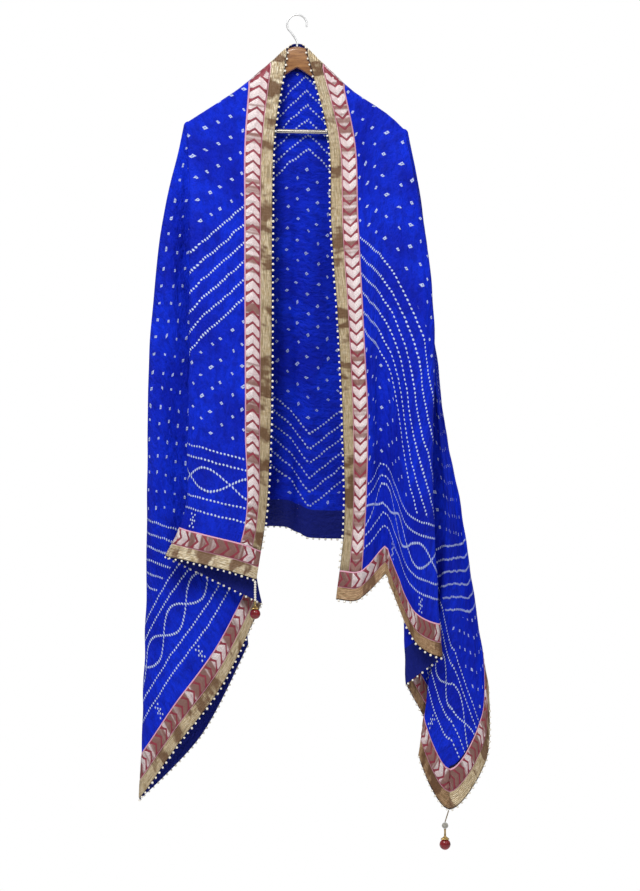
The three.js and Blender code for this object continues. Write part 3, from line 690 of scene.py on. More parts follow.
# ---- the tie-dyed pattern, in millimetres on the flat cloth ----
DIAMOND_MIDDLE, DIAMOND_SLOPE, SLOPE_LENGTH = 25.0, 0.82, 1.293
DIAMOND_LINES = [(275.0, 28.0, 6), (725.0, 29.0, 6)]  # first line's reach, step to the next, how many
END_LINES = [94.0, 119.0, 192.0, 213.0]
DOT_PITCH, DOT_RADIUS, DOT_SLIP = 6.9, 2.0, 50.0
PLAIT_MIDDLE, PLAIT_SWING, PLAIT_LENGTH, PLAIT_PITCH, PLAIT_WIDTH = 156.0, 21.0, 172.0, 5.8, 0.8
SPRIG_MIDDLE, SPRIG_PITCH, SPRIG_RADIUS = 74.0, 158.0, 1.9
SPRIG_DOTS = [(5.5, 0.0), (0.0, 5.5), (11.0, 5.0), (0.0, 0.0)]
SPOT_ALONG, SPOT_ACROSS, SPOT_START = 41.0, 40.0, 20.0
SPOT_INNER, SPOT_MIDDLE, SPOT_OUTER = 258.0, (430.0, 708.0), 886.0  # reaches where scattered spots lie
LINES_END, SPOTS_END = 224.0, 230.0
WANDER = {"lines": 9.0, "ends": 5.0, "spots": 16.0}


def tied_dots():
    """The tie-dyed pattern: dotted diamonds, end lines with plaited waves, and a scattered field."""
    tree = bpy.data.node_groups.new("Tied dots", "ShaderNodeTree")
    tree.interface.new_socket("Place", in_out="INPUT", socket_type="NodeSocketVector")
    tree.interface.new_socket("Dots", in_out="OUTPUT", socket_type="NodeSocketFloat")
    tree.interface.new_socket("Border", in_out="OUTPUT", socket_type="NodeSocketFloat")
    s = Sheet(tree)
    given, result = s.node("NodeGroupInput"), s.node("NodeGroupOutput")
    place = given.outputs[0]
    x, y = s.split(place)[:2]
    u, v = s.times(x, 1000.0), s.times(y, 1000.0)
    wander = s.minus(s.noise(place, 34.0, 1.0), 0.5)
    au, av = s.size(s.minus(u, DIAMOND_MIDDLE)), s.size(s.minus(v, WIDTH / 2))
    reach = s.plus(s.math("MULTIPLY_ADD", au, DIAMOND_SLOPE, av), s.times(wander, WANDER["lines"]))
    along = s.math("DIVIDE", s.math("MULTIPLY_ADD", av, -DIAMOND_SLOPE, au), SLOPE_LENGTH)
    half = (SIDES["left"]["half"] + SIDES["right"]["half"]) / 2
    shift = (SIDES["right"]["half"] - SIDES["left"]["half"]) / 2
    from_end = s.minus(half, s.size(s.minus(u, shift)))
    end = s.plus(from_end, s.times(wander, WANDER["ends"]))
    side = s.math("MINIMUM", v, s.minus(WIDTH, v))

    def near(value, pitch, offset=0.0):
        """Distance to the nearest multiple of pitch."""
        t = s.plus(s.math("DIVIDE", value, pitch), offset)
        return s.times(s.size(s.minus(t, s.math("ROUND", t))), pitch)

    def dot(dx, dy, radius=DOT_RADIUS):
        far = s.math("SQRT", s.plus(s.times(dx, dx), s.times(dy, dy)))
        return s.fall(far, radius - 0.7, radius + 0.6)

    found = []
    for start, step, count in DIAMOND_LINES:
        t = s.math("DIVIDE", s.minus(reach, start), step)
        k = s.math("ROUND", t)
        off = s.times(s.size(s.minus(t, k)), step / SLOPE_LENGTH)
        step_along = near(s.math("MULTIPLY_ADD", k, DOT_PITCH / 3, along), DOT_PITCH)
        inside = s.times(s.math("GREATER_THAN", k, -0.5), s.math("LESS_THAN", k, count - 0.5))
        inside = s.times(inside, s.math("GREATER_THAN", end, LINES_END))
        found.append(s.times(dot(off, step_along), inside))
    for distance in END_LINES:
        found.append(dot(s.minus(end, distance), near(v, DOT_PITCH, distance / DOT_SLIP)))
    for sign in (1.0, -1.0):
        swing = s.times(s.math("SINE", s.times(v, 2 * math.pi / PLAIT_LENGTH)), PLAIT_SWING * sign)
        off = s.times(s.minus(s.minus(end, PLAIT_MIDDLE), swing), PLAIT_WIDTH)
        found.append(dot(off, near(v, PLAIT_PITCH)))
    ax, py = s.size(s.minus(end, SPRIG_MIDDLE)), near(v, SPRIG_PITCH)
    for cx, cy in SPRIG_DOTS:
        found.append(dot(s.minus(ax, cx), s.minus(py, cy), SPRIG_RADIUS))
    jitter = s.times(wander, WANDER["spots"])
    zone = s.plus(s.math("LESS_THAN", reach, SPOT_INNER), s.math("GREATER_THAN", reach, SPOT_OUTER))
    zone = s.plus(zone, s.between(reach, *SPOT_MIDDLE, 0.5), clamp=True)
    zone = s.times(zone, s.math("GREATER_THAN", end, SPOTS_END))
    for offset in (0.0, 0.5):
        dx = near(s.plus(s.plus(u, jitter), SPOT_START), SPOT_ALONG, offset)
        dy = near(s.minus(v, jitter), SPOT_ACROSS, offset)
        far = s.plus(dx, s.times(dy, 0.95))
        heart = s.times(s.fall(far, 0.5, 1.7), 0.8)
        spot = s.times(s.minus(s.fall(far, 2.7, 4.0), heart), 0.9)
        found.append(s.times(spot, zone))
    edge = s.fall(s.math("MINIMUM", side, from_end), BORDER - 1.0, BORDER + 1.0)
    most = found[0]
    for value in found[1:]:
        most = s.math("MAXIMUM", most, value)
    s.put(result.inputs["Dots"], s.times(most, s.minus(1.0, edge), clamp=True))
    s.put(result.inputs["Border"], edge)
    return tree


# ---- finishes ----
def silk(name, group, tint, dots_show, backing):
    """Crinkled silk between two blues with tied dots, painted shade in its fold troughs and over its
    crinkles, and the backing's colour under the border.
    """
    material, s, shader = new_material(name, 0.6)
    uv = s.cut()[0]
    pattern = s.node("ShaderNodeGroup", node_tree=group)
    s.put(pattern.inputs[0], uv)
    dots, border = pattern.outputs["Dots"], pattern.outputs["Border"]
    crosswise = s.stretched(uv, (1.0, 1.9, 1.0))
    wide, fine = s.noise(uv, 9.0, 3.0), s.noise(crosswise, 110.0, 3.0, 0.6)
    crinkle = s.noise(crosswise, 46.0, 5.0, 0.66)
    fold = s.noise(s.stretched(uv, (0.28, 1.3, 1.0)), 15.0, 2.0)
    deep, bright = tint
    # dark: deep blue darkened further, for the painted shade over the crinkles.
    dark = tuple(c * 0.55 for c in deep[:3]) + (1,)
    shade = s.mix(s.soft(wide, 0.3, 0.7), deep, bright)
    # Painted shade: the fold troughs are darkened towards deep blue.
    shade = s.mix(s.times(s.fall(fold, 0.34, 0.5), 0.5), shade, deep)
    # Painted shade: the crinkles are darkened towards that darker blue.
    shade = s.mix(s.times(s.soft(crinkle, 0.4, 0.66), 0.5), shade, dark)
    colour = s.mix(s.times(dots, dots_show), shade, (0.60, 0.70, 0.93, 1))
    colour = s.mix(border, colour, backing)
    shader.inputs["Specular IOR Level"].default_value = 0.12
    height = crinkle
    for part, share in ((fine, 0.35), (dots, 0.22), (fold, 0.8)):
        height = s.plus(height, s.times(part, share))
    s.finish(shader, colour, height, 0.019, 0.6)
    return material


def gold_tissue(name, dark, light):
    """Ribbed gold tissue between two tones, with brown patches of painted shade and reflection from its
    crinkles.
    """
    material, s, shader = new_material(name, 0.42, 0.25)
    run, across = s.cut()[1:]
    rib = s.math("SINE", s.times(across, 2 * math.pi / 0.0026))
    # Painted shade and reflection: brown patches along the band, where the crinkled tissue reflects
    # unevenly.
    patch = s.noise(s.join(run, s.times(across, 0.5)), 21.0, 3.0, 0.6)
    weave = s.noise(s.join(s.times(run, 0.7), s.times(across, 5.0)), 120.0, 2.0, 0.7)
    line = s.noise(s.join(s.times(run, 0.05), across), 620.0, 1.0)
    # These two darken the tissue towards its dark tone in long random patches, and more the further it lies
    # along the band, from 0.1 to 0.7 m.
    long_patches = s.noise(s.join(run, 0.6), 5.0, 2.0)
    darker_far_out = s.math("MAXIMUM", s.soft(long_patches, 0.46, 0.62), s.soft(s.size(run), 0.1, 0.7))
    colour = s.mix(s.soft(weave, 0.35, 0.68), dark, light)
    for mask, share, tone in ((darker_far_out, 0.45, dark),
                              (s.soft(rib, 0.2, 1.0), 0.35, (0.36, 0.24, 0.09, 1)),
                              (s.soft(line, 0.5, 0.62), 0.55, (0.20, 0.13, 0.045, 1)),
                              (s.soft(patch, 0.50, 0.58), 0.88, (0.15, 0.065, 0.025, 1))):
        colour = s.mix(s.times(mask, share), colour, tone)
    pucker = s.noise(s.join(s.times(run, 4.0), s.times(across, 0.9)), 55.0, 2.0)
    s.finish(shader, colour, s.plus(s.times(rib, 0.18), s.times(pucker, 0.8)), 0.0035, 0.8)
    return material


def patti_ground(name):
    """The maroon ground of the patti between its two pink pipings."""
    material, s, shader = new_material(name, 0.55)
    uv, _, across = s.cut()
    w = s.times(across, 1000.0)
    colour = s.mix(s.noise(uv, 60.0, 3.0), (0.12, 0.007, 0.018, 1), (0.34, 0.03, 0.055, 1))
    piping = s.math("MAXIMUM", s.soft(w, 52.4, 53.0), s.fall(w, 24.2, 25.4))
    s.finish(shader, s.mix(piping, colour, (0.70, 0.36, 0.46, 1)), s.noise(uv, 700.0, 2.0), 0.001, 0.5)
    return material


def gota_leaf(name, low, high):
    """Ribbon leaves: silver, turning bronze in patches of painted shade, from low to high of the noise."""
    material, s, shader = new_material(name, 0.36, 0.3)
    run, across = s.cut()[1:]
    painted_shade_patches = s.noise(s.join(run, 0.37), 21.0, 3.0, 0.6)
    thread = s.noise(s.join(s.times(run, 6.0), across), 300.0, 2.0)
    second_half = s.soft(across, 0.0146, 0.0154)
    colour = s.mix(s.soft(thread, 0.3, 0.7), (0.50, 0.38, 0.38, 1), (0.90, 0.83, 0.81, 1))
    colour = s.mix(s.times(second_half, 0.3), colour, (0.50, 0.30, 0.31, 1))
    # Painted shade: in patches of the noise the leaves turn bronze.
    colour = s.mix(s.times(s.soft(painted_shade_patches, low, high), 0.9), colour, (0.19, 0.065, 0.045, 1))
    s.finish(shader, colour, thread, 0.0015, 0.6)
    return material


# Mottled finishes: two colours, how fine the mottling is, roughness, metal, coat, bump, stretch
FINISHES = {
    "varnished_wood": ((0.17, 0.065, 0.02), (0.36, 0.17, 0.058), 22, 0.34, 0, 0.4, 0.0006, (1.2, 6, 9)),
    "bar_steel": ((0.30, 0.27, 0.24), (0.52, 0.48, 0.43), 60, 0.26, 0.9, 0, 0, (0.4, 6, 6)),
    "hook_wire": ((0.62, 0.62, 0.61), (0.84, 0.84, 0.83), 60, 0.3, 0.5, 0, 0, (1, 1, 1)),
    "pearl": ((0.78, 0.72, 0.58), (0.93, 0.89, 0.8), 300, 0.22, 0, 0.6, 0, (1, 1, 1)),
    "red_bead": ((0.15, 0.001, 0.004), (0.28, 0.003, 0.008), 90, 0.25, 0, 0.2, 0, (1, 1, 1)),
    "crown_brass": ((0.34, 0.21, 0.06), (0.62, 0.43, 0.16), 220, 0.3, 0.85, 0, 0.0006, (1, 1, 1)),
    "clear_bead": ((0.20, 0.19, 0.15), (0.44, 0.42, 0.36), 160, 0.08, 0, 0.9, 0, (1, 1, 1)),
    "thread": ((0.16, 0.12, 0.07), (0.30, 0.24, 0.15), 900, 0.8, 0, 0, 0.0006, (1, 1, 1)),
}


def plain_finish(name):
    """A finish mottled between two colours by its place on the object."""
    first, second, scale, roughness, metal, coat, bump, stretch = FINISHES[name]
    material, s, shader = new_material(name, roughness, metal)
    place = s.node("ShaderNodeTexCoord").outputs["Object"]
    tone = s.noise(s.stretched(place, stretch), scale, 4.0, 0.6)
    shader.inputs["Coat Weight"].default_value = coat
    shader.inputs["Coat Roughness"].default_value = 0.12
    colour = s.mix(s.soft(tone, 0.3, 0.7), (*first, 1), (*second, 1))
    s.finish(shader, colour, tone if bump else None, bump, 0.4)
    return material


# ---- what the operators share ----
made = {}
UNDER_BORDER = (0.002, 0.003, 0.03, 1)
BAND_LIFT, PEARL_LIFT = 0.5, 0.6
NAPE_BAND_REACH, NAPE_LEAF_REACH = 100.0, 50.0


def piece_of(name):
    if name not in made:
        raise RuntimeError(f"{name} has to be made first")
    return made[name]


def ribbons_of(points, normals, flat, halves, ids):
    """The border's bands round the cloth, each from its field side to its outer edge."""
    band, out = len(BAND), {}
    grid = {word: (points[table], normals[table], flat[table]) for word, table in ids.items()}
    for word, (p, n, f) in grid.items():
        end, stop = halves[word].corner + 1, p.shape[1] - band + 1
        out[f"end_{word}"] = Ribbon(p[:end, -band:], n[:end, -band:], f[:end, -band:, 1])
        turn = lambda g: np.transpose(g[:band, :stop], (1, 0, 2))[:, ::-1]
        out[f"front_{word}"] = Ribbon(turn(p), turn(n), np.abs(turn(f)[..., 0]))
    (lp, ln, lf), (rp, rn, rf) = grid["left"], grid["right"]
    lc, rc = halves["left"].corner, halves["right"].corner
    join = lambda a, b: np.concatenate([b[rc:, -band:], a[lc:-1, -band:][::-1]])
    out["hem"] = Ribbon(join(lp, rp), join(ln, rn), join(lf, rf)[..., 0])
    return out


def nape_columns(points, normals, flat, halves, ids):
    """The band behind the neck from arm to arm, cut back where it runs over them:
    for each column its distance along, its distances from the edge, its points and its normals."""
    sides = []
    for word in ("left", "right"):
        half, table, side = halves[word], ids[word], []
        for i in range(half.front + half.cone, table.shape[0]):
            a = abs(flat[table[i, 1], 0])
            if a > NAPE_BAND_REACH:
                continue
            across = flat[table[i], 1]
            low = max(0.0, (a - NECK_REACH) / (TIP_ALONG - NECK_REACH) * TIP_ACROSS)
            wants = low + (BORDER - low) * np.linspace(1, 0, len(BAND))
            at = lambda values: between_points(wants, across, values[table[i]]).T
            side.append((a, wants, at(points), at(normals)))
        sides.append(side)
    return sides[0] + sides[1][::-1][1:]


class StoleCloth(bpy.types.PropertyGroup):
    """Sizes and colours of the silk."""

    thickness: FloatProperty(name="Thickness", description="Thickness of the silk", default=0.0007,
                             unit="LENGTH")
    blue: FloatVectorProperty(name="Blue", description="Colour of the dyed silk", subtype="COLOR", size=4,
                              default=(0.002, 0.028, 0.70, 1))
    # Deep blue is the darker tone of the silk's random patches, and also its painted shade in the fold
    # troughs and, darkened further, over the crinkles.
    deep: FloatVectorProperty(name="Deep blue", description="Colour where the dye took darker",
                              subtype="COLOR", size=4, default=(0.001, 0.011, 0.43, 1))
    navy: FloatVectorProperty(name="Backing", description="Colour of the border's back",
                              subtype="COLOR", size=4, default=(0.006, 0.012, 0.18, 1))


class StoleBorder(bpy.types.PropertyGroup):
    """Sizes of the border's bands, leaves and pearls."""

    band_thickness: FloatProperty(name="Band thickness", description="Thickness of a border band",
                                  default=0.0005, unit="LENGTH")
    leaf_pitch: FloatProperty(name="Leaf pitch", description="From one pair of leaves to the next",
                              default=0.0205, unit="LENGTH")
    pearl_radius: FloatProperty(name="Pearl radius", description="Radius of a pearl", default=0.0023,
                                unit="LENGTH")
    pearl_pitch: FloatProperty(name="Pearl pitch", description="From one pearl to the next", default=0.0116,
                               unit="LENGTH")
    seed: IntProperty(name="Seed", description="Seed for the uneven placing of the pearls", default=4)


class StoleStage(bpy.types.PropertyGroup):
    """The camera and the light."""

    view_height: FloatProperty(name="View height", description="Height the camera takes in", default=1.693,
                               unit="LENGTH")
    distance: FloatProperty(name="Distance", description="Camera to the hanger", default=5.0, unit="LENGTH")
    key: FloatProperty(name="Key light", description="Power of the main light", default=62.0, unit="POWER")
    floor: FloatVectorProperty(name="Floor", description="Colour of the floor", subtype="COLOR", size=4,
                               default=(0.86, 0.86, 0.86, 1))


class STOLE_OT_cloth(bpy.types.Operator):
    """Makes the draped silk with its tie-dyed pattern"""

    bl_idname = "stole.cloth"
    bl_label = "Silk"

    def execute(self, context):
        look = context.scene.stole_cloth
        points, normals, flat, faces, halves, ids = build_cloth()
        made["grid"] = (points, normals, flat, halves, ids)
        half = look.thickness / 2 / MM
        both, whole, uv, skin = shell(points, normals, faces, flat * MM, -half, half)
        group, tint = tied_dots(), (tuple(look.deep), tuple(look.blue))
        outside = silk("silk", group, tint, 1.0, UNDER_BORDER)
        inside = silk("silk_wrong_side", group, tint, 0.75, tuple(look.navy))
        slots = [0 if s == 0 else 1 for s in skin]
        piece = new_piece("stole_silk", both, whole, [outside, inside], uv, slots)
        made["silk"] = finish_piece(piece, "cloth", "cloth_left", "cloth_right", "cloth_back")
        return {"FINISHED"}


class STOLE_OT_border(bpy.types.Operator):
    """Makes the patti ground, the gold tissue band and the gota leaves of the border"""

    bl_idname = "stole.border"
    bl_label = "Border"

    def execute(self, context):
        size = context.scene.stole_border
        ribbons = made["ribbons"] = ribbons_of(*piece_of("grid"))
        low, high = BAND_LIFT, BAND_LIFT + size.band_thickness / MM
        middle, edge = BAND.index(GOLD), len(BAND) - 2
        rng = np.random.default_rng(size.seed)
        gold, patti, leaves = [], [], []
        for name, ribbon in ribbons.items():
            ph = rng.uniform(0, 6.3, 4)
            wave = lambda run: (0.9 + 0.5 * np.sin(run / 9.5 + ph[0] + 2 * np.sin(run / 61 + ph[1]))
                                + 0.4 * np.sin(run / 5.3 + ph[2]))
            points, faces, uv, _ = ribbon_mesh(ribbon, middle, edge, low, high, wave)
            hand = (-1, 1) if name.endswith("left") else (1, 1)
            # The right end's band takes the second gold finish, a darker copy painted as shade.
            gold.append((points, faces, uv * hand, [int(name == "end_right")] * len(faces)))
            patti.append(ribbon_mesh(ribbon, 0, middle, low, high))
            way = 1 if name in ("front_right", "end_right") else -1
            # The ends and the hem take the leaf finish with more patches of painted shade.
            painted_shade_patches = 0 if name.startswith("front") else 1
            pairs = leaves_on(ribbon, size.leaf_pitch / MM, high, way, painted_shade_patches)
            leaves += [(points, faces, uv * hand, slots) for points, faces, uv, slots in pairs]
        points, faces, uv, slots = gather(gold)
        # The second finish is the same tissue in darker tones: painted shade for the right end's band.
        tissues = [gold_tissue("gold_tissue", (0.52, 0.38, 0.20, 1), (1.0, 0.90, 0.68, 1)),
                   gold_tissue("gold_tissue_shaded", (0.32, 0.16, 0.075, 1), (0.74, 0.52, 0.30, 1))]
        band = new_piece("border_gold", points, faces, tissues, uv, slots)
        made["gold"] = finish_piece(band, "gold_tissue", *self.nodes("_gold"))
        points, faces, uv, _ = gather(patti)
        ground = new_piece("border_patti", points, faces, [patti_ground("patti_ground")], uv)
        made["patti"] = finish_piece(ground, "gota", *self.nodes("_patti"))
        points, faces, uv, slots = gather(leaves)
        # The second finish has wider patches of painted shade.
        finishes = [gota_leaf("gota_leaf", 0.53, 0.60), gota_leaf("gota_leaf_shaded_more", 0.45, 0.53)]
        leaf = new_piece("gota_leaves", points, faces, finishes, uv, slots, smooth=False)
        made["leaves"] = finish_piece(leaf, "gota")
        return {"FINISHED"}

    def nodes(self, word):
        return [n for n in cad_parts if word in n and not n.startswith("nape")]


def pearl_tree(seed):
    """Geometry nodes: a pearl on each point, a little uneven in size."""
    tree = bpy.data.node_groups.new("Pearl edging", "GeometryNodeTree")
    for name, in_out, kind in (("Geometry", "INPUT", "Geometry"), ("Radius", "INPUT", "Float"),
                               ("Material", "INPUT", "Material"), ("Geometry", "OUTPUT", "Geometry")):
        tree.interface.new_socket(name, in_out=in_out, socket_type="NodeSocket" + kind)
    s = Sheet(tree)
    given, result = s.node("NodeGroupInput"), s.node("NodeGroupOutput")
    pearl = s.node("GeometryNodeMeshIcoSphere")
    pearl.inputs["Subdivisions"].default_value = 2
    s.put(pearl.inputs["Radius"], given.outputs["Radius"])
    uneven = s.node("FunctionNodeRandomValue")
    uneven.inputs[2].default_value, uneven.inputs[3].default_value = 0.85, 1.12
    uneven.inputs["Seed"].default_value = seed
    place = s.node("GeometryNodeInstanceOnPoints")
    s.put(place.inputs["Points"], given.outputs["Geometry"])
    s.put(place.inputs["Instance"], pearl.outputs["Mesh"])
    s.put(place.inputs["Scale"], uneven.outputs[1])
    real = s.node("GeometryNodeRealizeInstances")
    s.put(real.inputs[0], place.outputs[0])
    smooth = s.node("GeometryNodeSetShadeSmooth")
    s.put(smooth.inputs["Geometry"], real.outputs[0])
    coloured = s.node("GeometryNodeSetMaterial")
    s.put(coloured.inputs["Geometry"], smooth.outputs[0])
    s.put(coloured.inputs["Material"], given.outputs["Material"])
    s.put(result.inputs[0], coloured.outputs[0])
    return tree


def grow(name, points, tree, **values):
    """Runs a geometry tree on loose points and keeps the result as a plain mesh."""
    loose = bpy.data.meshes.new(name + "_points")
    loose.from_pydata([tuple(p) for p in np.asarray(points) * MM], [], [])
    holder = link(name + "_points", loose)
    modifier = holder.modifiers.new("grow", "NODES")
    modifier.node_group = tree
    for item in tree.interface.items_tree:
        if item.item_type == "SOCKET" and item.in_out == "INPUT" and item.name in values:
            modifier[item.identifier] = values[item.name]
    depsgraph = bpy.context.evaluated_depsgraph_get()
    mesh = bpy.data.meshes.new_from_object(holder.evaluated_get(depsgraph))
    mesh.name = name
    holder.modifiers.clear()
    bpy.data.objects.remove(holder)
    return link(name, mesh)


class STOLE_OT_pearls(bpy.types.Operator):
    """Sets the pearl edging along the outer edge of the border"""

    bl_idname = "stole.pearls"
    bl_label = "Pearl edging"

    def execute(self, context):
        size = context.scene.stole_border
        pitch, radius, spots = size.pearl_pitch / MM, size.pearl_radius / MM, []
        for ribbon in piece_of("ribbons").values():
            edge = ribbon.points[:, -1]
            out = edge - ribbon.points[:, -2]
            out = out / np.linalg.norm(out, axis=1)[:, None]
            run = runs_along(edge)
            for at in spread(run, pitch, 1):
                p, d, n = (between_points(at, run, g) for g in (edge, out, ribbon.normals[:, -1]))
                spots.append(p + d * (radius * 0.8) + n * PEARL_LIFT)
        spots += piece_of("nape_edge")
        pearl = made["pearl_finish"] = plain_finish("pearl")
        piece = grow("pearl_edging", spots, pearl_tree(size.seed), Radius=size.pearl_radius, Material=pearl)
        made["pearls"] = finish_piece(piece, "pearl")
        return {"FINISHED"}


class STOLE_OT_nape(bpy.types.Operator):
    """Makes the border behind the neck, which narrows to nothing over the arms"""

    bl_idname = "stole.nape"
    bl_label = "Border behind the neck"

    def execute(self, context):
        size = context.scene.stole_border
        columns = nape_columns(*piece_of("grid"))
        n, m = len(columns), len(BAND)
        low, high = BAND_LIFT, BAND_LIFT + size.band_thickness / MM
        p = np.array([c[2] for c in columns])
        q = np.array([c[3] for c in columns])
        q /= np.linalg.norm(q, axis=2)[..., None]
        q[..., 1] = np.abs(q[..., 1])
        faces, run = quads(n, m), runs_along(p[:, 0])
        places = np.array([(run[i] * MM, columns[i][1][j] * MM) for i in range(n) for j in range(m)])
        across = np.array([sum(columns[i + a][1][j + b] for a in (0, 1) for b in (0, 1)) / 4
                           for i in range(n - 1) for j in range(m - 1)])
        faces = facing(faces, p.reshape(-1, 3), faces[0], q[0, 0])
        both, whole, uv, _ = shell(p.reshape(-1, 3), q.reshape(-1, 3), faces, places, low, high)
        slots = [0 if across[i % len(faces)] < GOLD else 1 for i in range(2 * len(faces))]
        slots += [0] * (len(whole) - len(slots))
        gold, patti = (bpy.data.materials[name] for name in ("gold_tissue", "patti_ground"))
        piece = new_piece("border_behind_neck", both, whole, [gold, patti], uv, slots)
        made["nape"] = finish_piece(piece, "gold_tissue", "nape_gold", "nape_patti")
        full = [i for i, c in enumerate(columns) if c[0] < NAPE_LEAF_REACH]
        runs = np.array([[columns[i][0] * (-1 if i < n // 2 else 1)] * m for i in full])
        leaves = leaves_on(Ribbon(p[full], q[full], runs), size.leaf_pitch / MM, high, 1, 0)
        points, faces, uv, slots = gather(leaves)
        leaf = new_piece("leaves_behind_neck", points, faces, [bpy.data.materials["gota_leaf"]], uv, slots,
                         smooth=False)
        made["nape_leaves"] = finish_piece(leaf, "gota")
        edge = np.array([c[2][-1] for c in columns if c[0] < NECK_REACH + 1])
        along, off = runs_along(edge), [0, PEARL_LIFT, 2 * PEARL_LIFT]
        made["nape_edge"] = [between_points(at, along, edge) + off
                             for at in spread(along, size.pearl_pitch / MM, 2)]
        return {"FINISHED"}


# ---- tassels and hanger ----
def turned(x, y, profile, n=28, squeeze=None):
    """A closed turned form about a vertical axis: rows of (drop, radius)."""
    points = []
    for drop, radius in profile:
        for j in range(n):
            a = 2 * math.pi * j / n
            r = radius if squeeze is None else radius * squeeze(a, drop)
            points.append((x + r * math.cos(a), y + r * math.sin(a), -(drop + NECK_LINE)))
    points += [(x, y, -(profile[0][0] + NECK_LINE)), (x, y, -(profile[-1][0] + NECK_LINE))]
    faces = [[a, d, c, b] for a, b, c, d in quads(len(profile), n, closed=True)]
    top, low, base = len(points) - 2, len(points) - 1, (len(profile) - 1) * n
    for j in range(n):
        faces.append([top, j, (j + 1) % n])
        faces.append([low, base + (j + 1) % n, base + j])
    return np.array(points, float), faces


def ball_profile(middle, radius, n=14):
    return [(middle - radius * math.cos(math.pi * i / n), max(0.15, radius * math.sin(math.pi * i / n)))
            for i in range(n + 1)]


class STOLE_OT_tassels(bpy.types.Operator):
    """Makes the two corner tassels: strings, crown caps and red beads"""

    bl_idname = "stole.tassels"
    bl_label = "Tassels"

    def execute(self, context):
        red, brass = plain_finish("red_bead"), plain_finish("crown_brass")
        paint("tassel_right_thread", plain_finish("thread"))
        paint("tassel_right_glass", plain_finish("clear_bead"))
        paint("tassel_left_beads", piece_of("pearl_finish"))
        for word in ("left", "right"):
            low, high = self.box(f"tassel_{word}_bead")
            x, y = (low[0] + high[0]) / 2, (low[1] + high[1]) / 2
            middle, radius = -(low[2] + high[2]) / 2 - NECK_LINE, (high[2] - low[2]) / 2
            facets = lambda a, drop: 1 - 0.02 * abs(math.sin(5 * a))
            points, faces = turned(x, y, ball_profile(middle, radius), squeeze=facets)
            bead = new_piece(f"red_bead_{word}", points, faces, [red])
            finish_piece(bead, "red_bead", f"tassel_{word}_bead")
            low, high = self.box(f"tassel_{word}_cap")
            top, foot, wide = -high[2] - NECK_LINE, -low[2] - NECK_LINE, (high[0] - low[0]) / 2 / 1.06
            petals = lambda a, drop: 1 + 0.10 * math.cos(8 * a) * ease((drop - top - 2) / (foot - top - 2))
            rows = [(top, 1.5), (top + 1.3, 2.5), (top + 2.6, 1.7), (foot - 6.2, 1.9), (foot - 5.0, 3.0),
                    (foot - 3.4, 5.2), (foot - 1.4, 0.92 * wide), (foot, wide), (foot - 0.5, wide - 0.7),
                    (foot - 2.6, 4.4), (foot - 3.4, 1.2)]
            points, faces = turned(x, y, rows, 48, petals)
            cap = new_piece(f"crown_cap_{word}", points, faces, [brass])
            finish_piece(cap, "brass", f"tassel_{word}_cap")
        return {"FINISHED"}

    def box(self, node):
        return [np.array(corner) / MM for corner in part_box(node)]


class STOLE_OT_hanger(bpy.types.Operator):
    """Gives the hanger its smooth varnished wood and its metal"""

    bl_idname = "stole.hanger"
    bl_label = "Hanger"

    def execute(self, context):
        ends, n = {-205.0: 0.6, -203.5: 0.86, 200.0: 0.86, 201.0: 0.6}, 28
        xs = np.concatenate([[-205, -203.5], np.linspace(-200, 198, 100), [200, 201]])
        points = np.concatenate([self.section(x, ends.get(float(x), 1.0), n) for x in xs])
        faces = quads(len(xs), n, closed=True)
        faces.append(list(range(n))[::-1])
        faces.append([(len(xs) - 1) * n + j for j in range(n)])
        faces = facing(faces, points, faces[0], points[0] - points[:n].mean(0))
        arms = new_piece("hanger_arms", points, faces, [plain_finish("varnished_wood")])
        finish_piece(arms, "wood", "hanger_wood")
        paint("trouser_bar", plain_finish("bar_steel"))
        paint("hook", plain_finish("hook_wire"))
        return {"FINISHED"}

    def section(self, x, close, n):
        """The wood's outline across the arm at x, closed in towards its rounded ends."""
        reach = abs(x)
        side = SIDES["left"] if x < 0 else SIDES["right"]
        if reach < NECK_X:
            top = CROWN_DROP + (NECK_DROP + ARM_CLEAR - CROWN_DROP) * (reach / NECK_X) ** 2
        else:
            q = min(1.0, (reach - NECK_X) / (side["tip_x"] - NECK_X))
            top = ridge(side, q)[1] + ARM_CLEAR + ARM_HOLLOW * q * (1 - q) + ARM_ROLL * q ** 6
        notch = reach < NOTCH["reach"]
        low = NOTCH["drop"] + NOTCH["slope"] * reach if notch else top + ARM_DEPTH - 5 * (reach / 200) ** 2
        cut, half, ring = (1 - close) * 12, ARM_HALF * close, []
        for j in range(n // 2):
            a = math.pi * j / (n // 2 - 1)
            drop = top + cut + ARM_HALF - ARM_HALF * math.sin(a) + NECK_LINE
            ring.append((x, half * math.cos(a), -drop))
        for j in range(n // 2):
            a = math.pi * j / (n // 2 - 1)
            ring.append((x, -half * math.cos(a), -(low - cut - 3 + 3 * math.sin(a) + NECK_LINE)))
        return np.array(ring, float)


# ---- stage ----
FLOOR_DROP, FLOOR_SIDE, FLOOR_FRONT, FLOOR_BACK = 1950, 3000, 4000, 1500
LOOK_AT, KEY_AT = (0, 0, -0.75), (-0.7, -2.1, 1.3)
LIGHTS = [("fill", (1.7, -2.6, 0.9), 1.2, 14), ("rim", (0.2, 2.2, 1.2), 1.6, 30)]  # name, place, size, power
CAMERA_X, CAMERA_Z = 0.0437, -0.8167


